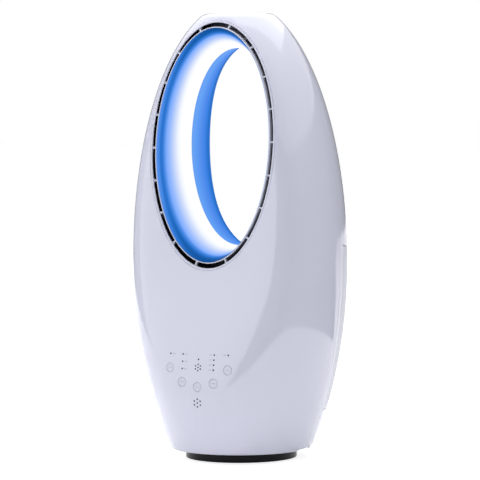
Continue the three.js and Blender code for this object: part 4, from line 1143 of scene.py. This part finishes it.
def make_materials():
    """The finish of every slot, and of the looks that differ from their slot's finish."""
    return {
        "shell_white": moulded("gloss_white", (221, 223, 240), (0.06, 0.1), 0.012, depth=0,
                               Coat_Weight=0.25, Coat_Roughness=0.03),
        "grille_white": moulded("satin_white", (216, 217, 230), (0.3, 0.42), 0.02),
        "key_white": moulded("key_white", (220, 221, 236), (0.2, 0.28), 0.012),
        "trim_white": moulded("trim_white", (214, 217, 232), (0.25, 0.35), 0.02),
        "front_light": lit_plastic("front_light", FRONT_RUN),
        "rear_light": lit_plastic("rear_light", REAR_RUN),
        "light_diffuser": lit_plastic("plain_light", REAR_RUN),
        "base_black": moulded("base_black", (6, 6, 10), (0.2, 0.3), 0.2, Specular_IOR_Level=0.12),
        "duct_black": moulded("duct_black", (14, 14, 18), (0.4, 0.55), 0.2),
        "slot_core": moulded("slot_core", (84, 84, 98), (0.3, 0.4), 0.1),
        "foot_rubber": moulded("foot_rubber", (24, 24, 27), (0.75, 0.9), 0.2, 500, 0.00005),
        "steel": metal("plated_steel", (176, 179, 184), (0.25, 0.45)),
        "brass": metal("turned_brass", (200, 170, 96), (0.25, 0.4)),
        "nylon": moulded("natural_nylon", (228, 222, 206), (0.45, 0.6), 0.04),
        "grey_plastic": moulded("grey_plastic", (132, 136, 143), (0.45, 0.6), 0.06),
        "circuit_board": circuit("circuit_board"),
        "filter_cloth": filter_cloth("filter_cloth"),
        "dark_lens": moulded("dark_lens", (22, 22, 36), (0.15, 0.25), 0.1, Specular_IOR_Level=0.25),
        "print_grey": moulded("print_grey", (194, 195, 213), (0.35, 0.5), 0.04),
    }


def repaint(finishes):
    """Gives every construction node that no finer piece stands for its own finish."""
    replaced = set()
    for obj in bpy.context.scene.objects:
        replaced |= set(obj.get("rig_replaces", []))
    for row in frame["record"]["subparts"]:
        if row["node"] not in replaced:
            node = frame["nodes"][row["node"]]
            node.data.materials.clear()
            node.data.materials.append(finishes[row["material_slot"]])
            crease(node)


# ---- stage, in metres and degrees ----
CAMERA_AZIMUTH = 30
CAMERA_DISTANCE = 4.54
CAMERA_HEIGHT = 0.595
CAMERA_FIELD = math.radians(8.03)
CAMERA_ROLL = math.radians(0.4)
AIM_Z = 0.2893
SENSOR = 36.0  # millimetres
AMBIENT_COLOUR = (0.93, 0.95, 1, 1)
AMBIENT_STRENGTH = 0.115
FLOOR_REACH = 9.0
FLOOR_GLOW = 0.78
# azimuth, elevation, distance, size and power
BRIGHT_CARD = (-35, 12, 3.2, (3.7, 1.9), 16)
SOFTBOXES = {
    "front_softbox": (15, 5, 3.6, (1.6, 1.4), 36),
    "left_softbox": (-85, 15, 3.2, (2, 2), 49),
    "back_softbox": (125, 15, 3.2, (2, 2), 31),
    "top_softbox": (0, 88, 2.4, (1.6, 1.6), 49),
}
SURROUND_AZIMUTHS = (-4, 292)
SURROUND_LIFT = ((150, 155, 200, 250), (0.01, 0.19, 0.19, 0.01))  # azimuths, lower edge there
SURROUND_DISTANCE = 2.6
SURROUND_TOP = 1.15
CLOTH_AZIMUTHS = (-4, 152)
CLOTH_INNER = 0.75
CLOTH_HEIGHT = 0.01
CLOTH_LEVEL = 0.15
HIGH_CARD = [(2.2, 1.6, 2.75), (0.1, -0.66, 2.75), (-4.3, 3.0, 2.75), (-0.84, 6.5, 2.75)]
HIGH_CARD_LEVEL = 2.6


def bearing(azimuth):
    """Level direction towards an azimuth, counted from the front to the right."""
    turn = np.radians(azimuth)
    return np.sin(turn), -np.cos(turn)


def make_camera():
    data = bpy.data.cameras.new("photo_camera")
    data.sensor_width = SENSOR
    data.lens = SENSOR / 2 / math.tan(CAMERA_FIELD / 2)
    data.clip_end = 60
    camera = linked("photo_camera", data)
    x, y = bearing(CAMERA_AZIMUTH)
    camera.location = (CAMERA_DISTANCE * x, CAMERA_DISTANCE * y, CAMERA_HEIGHT)
    level = (Vector((0, 0, AIM_Z)) - camera.location).to_track_quat("-Z", "Y")
    camera.rotation_euler = (level @ Quaternion((0, 0, 1), -CAMERA_ROLL)).to_euler()
    bpy.context.scene.camera = camera


def hide_from(obj, *rays):
    for ray in rays:
        setattr(obj, "visible_" + ray, False)


def area_light(name, azimuth, elevation, distance, size, energy, card=False):
    """Soft box aimed at the middle of the object. It lights the surfaces and isn't mirrored in
    them; a card is mirrored only."""
    data = bpy.data.lights.new(name, "AREA")
    data.shape = "RECTANGLE"
    data.size, data.size_y = size
    data.energy = energy
    light = linked(name, data)
    hide_from(light, "camera", "diffuse" if card else "glossy")
    x, y = bearing(azimuth)
    rise = math.radians(elevation)
    back = Vector((x * math.cos(rise), y * math.cos(rise), math.sin(rise)))
    light.location = Vector((0, 0, AIM_Z)) + back * distance
    light.rotation_euler = (-back).to_track_quat("-Z", "Y").to_euler()


def seen_directly(beside):
    """1 for rays that show the background: straight, mirrored or through glass."""
    path = add_node(beside, "LightPath")
    total = path.outputs["Is Camera Ray"]
    for name in ("Is Glossy Ray", "Is Transmission Ray"):
        either = add_node(beside, "Math", operation="MAXIMUM")
        link(total, either, 0)
        link(path.outputs[name], either, 1)
        total = either.outputs[0]
    return total


def make_world():
    """Faint ambient light, with plain white wherever the background shows."""
    world = bpy.data.worlds.new("studio")
    bpy.context.scene.world = world
    world.use_nodes = True
    nodes = world.node_tree.nodes
    ambient = nodes["Background"]
    ambient.inputs["Color"].default_value = AMBIENT_COLOUR
    ambient.inputs["Strength"].default_value = AMBIENT_STRENGTH
    shown = add_node(ambient, "Background", {"Color": (1, 1, 1, 1), "Strength": 1.0})
    mix = add_node(ambient, "MixShader")
    link(seen_directly(mix), mix, "Fac")
    link(ambient.outputs[0], mix, 1)
    link(shown.outputs[0], mix, 2)
    link(mix.outputs[0], nodes["World Output"], "Surface")


def studio_piece(name, points, faces, material):
    mesh = bpy.data.meshes.new(name)
    mesh.from_pydata(points, [], faces)
    mesh.materials.append(material)
    obj = linked(name, mesh)
    return obj


def make_floor():
    """Plain pale floor that meets the white background and keeps the object's shadow."""
    material, shader = new_material("floor", Base_Color=(0.86, 0.86, 0.87), Roughness=0.7,
                                    Emission_Color=(1, 1, 1))
    factor = add_node(shader, "Math", {1: FLOOR_GLOW}, operation="MULTIPLY")
    link(seen_directly(shader), factor, 0)
    link(factor.outputs[0], shader, "Emission Strength")
    low, high = -FLOOR_REACH, FLOOR_REACH
    corners = [(low, low, 0), (high, low, 0), (high, high, 0), (low, high, 0)]
    studio_piece("floor", corners, [(0, 1, 2, 3)], material)


def reflector(name, points, faces, level):
    """Cloth or card of the studio that shows in reflections only."""
    material = new_material(name, Base_Color=(0, 0, 0), Specular_IOR_Level=0.0,
                            Emission_Color=(1, 1, 1), Emission_Strength=level)[0]
    hide_from(studio_piece(name, points, faces, material),
              "camera", "diffuse", "shadow", "transmission")


def arc(azimuths, reach, height):
    """Row of points round the object, one at each azimuth."""
    x, y = bearing(azimuths)
    return np.stack([reach * x, reach * y, height + 0 * x], -1).tolist()


def cloth(name, low, high):
    """Grey cloth between two rows of points."""
    count = len(low)
    faces = [(k, k + 1, k + count + 1, k + count) for k in range(count - 1)]
    reflector(name, low + high, faces, CLOTH_LEVEL)


def make_cloths():
    """Grey cloth round the object, open towards the bright card, and in over the floor on the
    right. Behind the object it is lifted off the floor."""
    turns = np.linspace(*SURROUND_AZIMUTHS, 120)
    low = arc(turns, SURROUND_DISTANCE, np.interp(turns, *SURROUND_LIFT))
    cloth("grey_surround", low, arc(turns, SURROUND_DISTANCE, SURROUND_TOP))
    turns = np.linspace(*CLOTH_AZIMUTHS, 60)
    near, far = (arc(turns, reach, CLOTH_HEIGHT) for reach in (CLOTH_INNER, SURROUND_DISTANCE))
    cloth("grey_floor_cloth", near, far)


def make_lights():
    make_cloths()
    reflector("high_card", HIGH_CARD, [(0, 1, 2, 3)], HIGH_CARD_LEVEL)
    area_light("bright_card", *BRIGHT_CARD, card=True)
    for name, place in SOFTBOXES.items():
        area_light(name, *place)


# ---- assembly ----
def dress_all(finishes):
    """Makes every fine piece and puts it on its body, in place of the nodes it stands for."""
    def dress(obj, slot, *nodes, body="tower", look=None):
        obj.data.materials.append(finishes[look or slot])
        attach(obj, body)
        if nodes:
            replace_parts(obj, *nodes)

    dress(front_shell(), "shell_white", "front_shell")
    dress(rear_shell(), "shell_white", "rear_shell")
    dress(screw_bosses(), "shell_white")
    dress(intake_grille(), "grille_white", "intake_grille")
    front_rim = grown(SLOT_INNER, BAND_INNER - GAP)
    dress(light_ring("front_glow", front_rim, front_y, THROAT_Y - GAP / 2), "light_diffuser",
          "front_light_ring", look="front_light")
    dress(light_ring("rear_glow", REAR_RIM, rear_y, THROAT_Y + GAP / 2), "light_diffuser",
          "rear_light_ring", look="rear_light")
    dress(light_carrier(), "duct_black", "light_carrier", look="slot_core")
    dress(nozzle_liner(), "duct_black", "nozzle_liner")
    dress(outlet_spacer(), "shell_white", "outlet_spacer", look="trim_white")
    for name, degrees in KEYS.items():
        body = name + "_body"
        dress(key(name, degrees), "key_white", name, body=body)
        dress(key_mark(name, degrees), "grey_plastic", body=body, look="print_grey")
    dress(indicator_dots(), "duct_black", look="dark_lens")
    dress(sound_felt(), "duct_black")
    dress(dot_labels(), "grey_plastic", look="print_grey")
    dress(base_cover(), "base_black", "base_cover", body="base")
    dress(foot_ring(), "foot_rubber", "foot_ring", body="base")
    dress(power_socket(), "duct_black", "power_socket")


make_camera()
make_world()
make_lights()
make_floor()
finishes = make_materials()
dress_all(finishes)
repaint(finishes)

bpy.context.scene.view_settings.view_transform = "Standard"
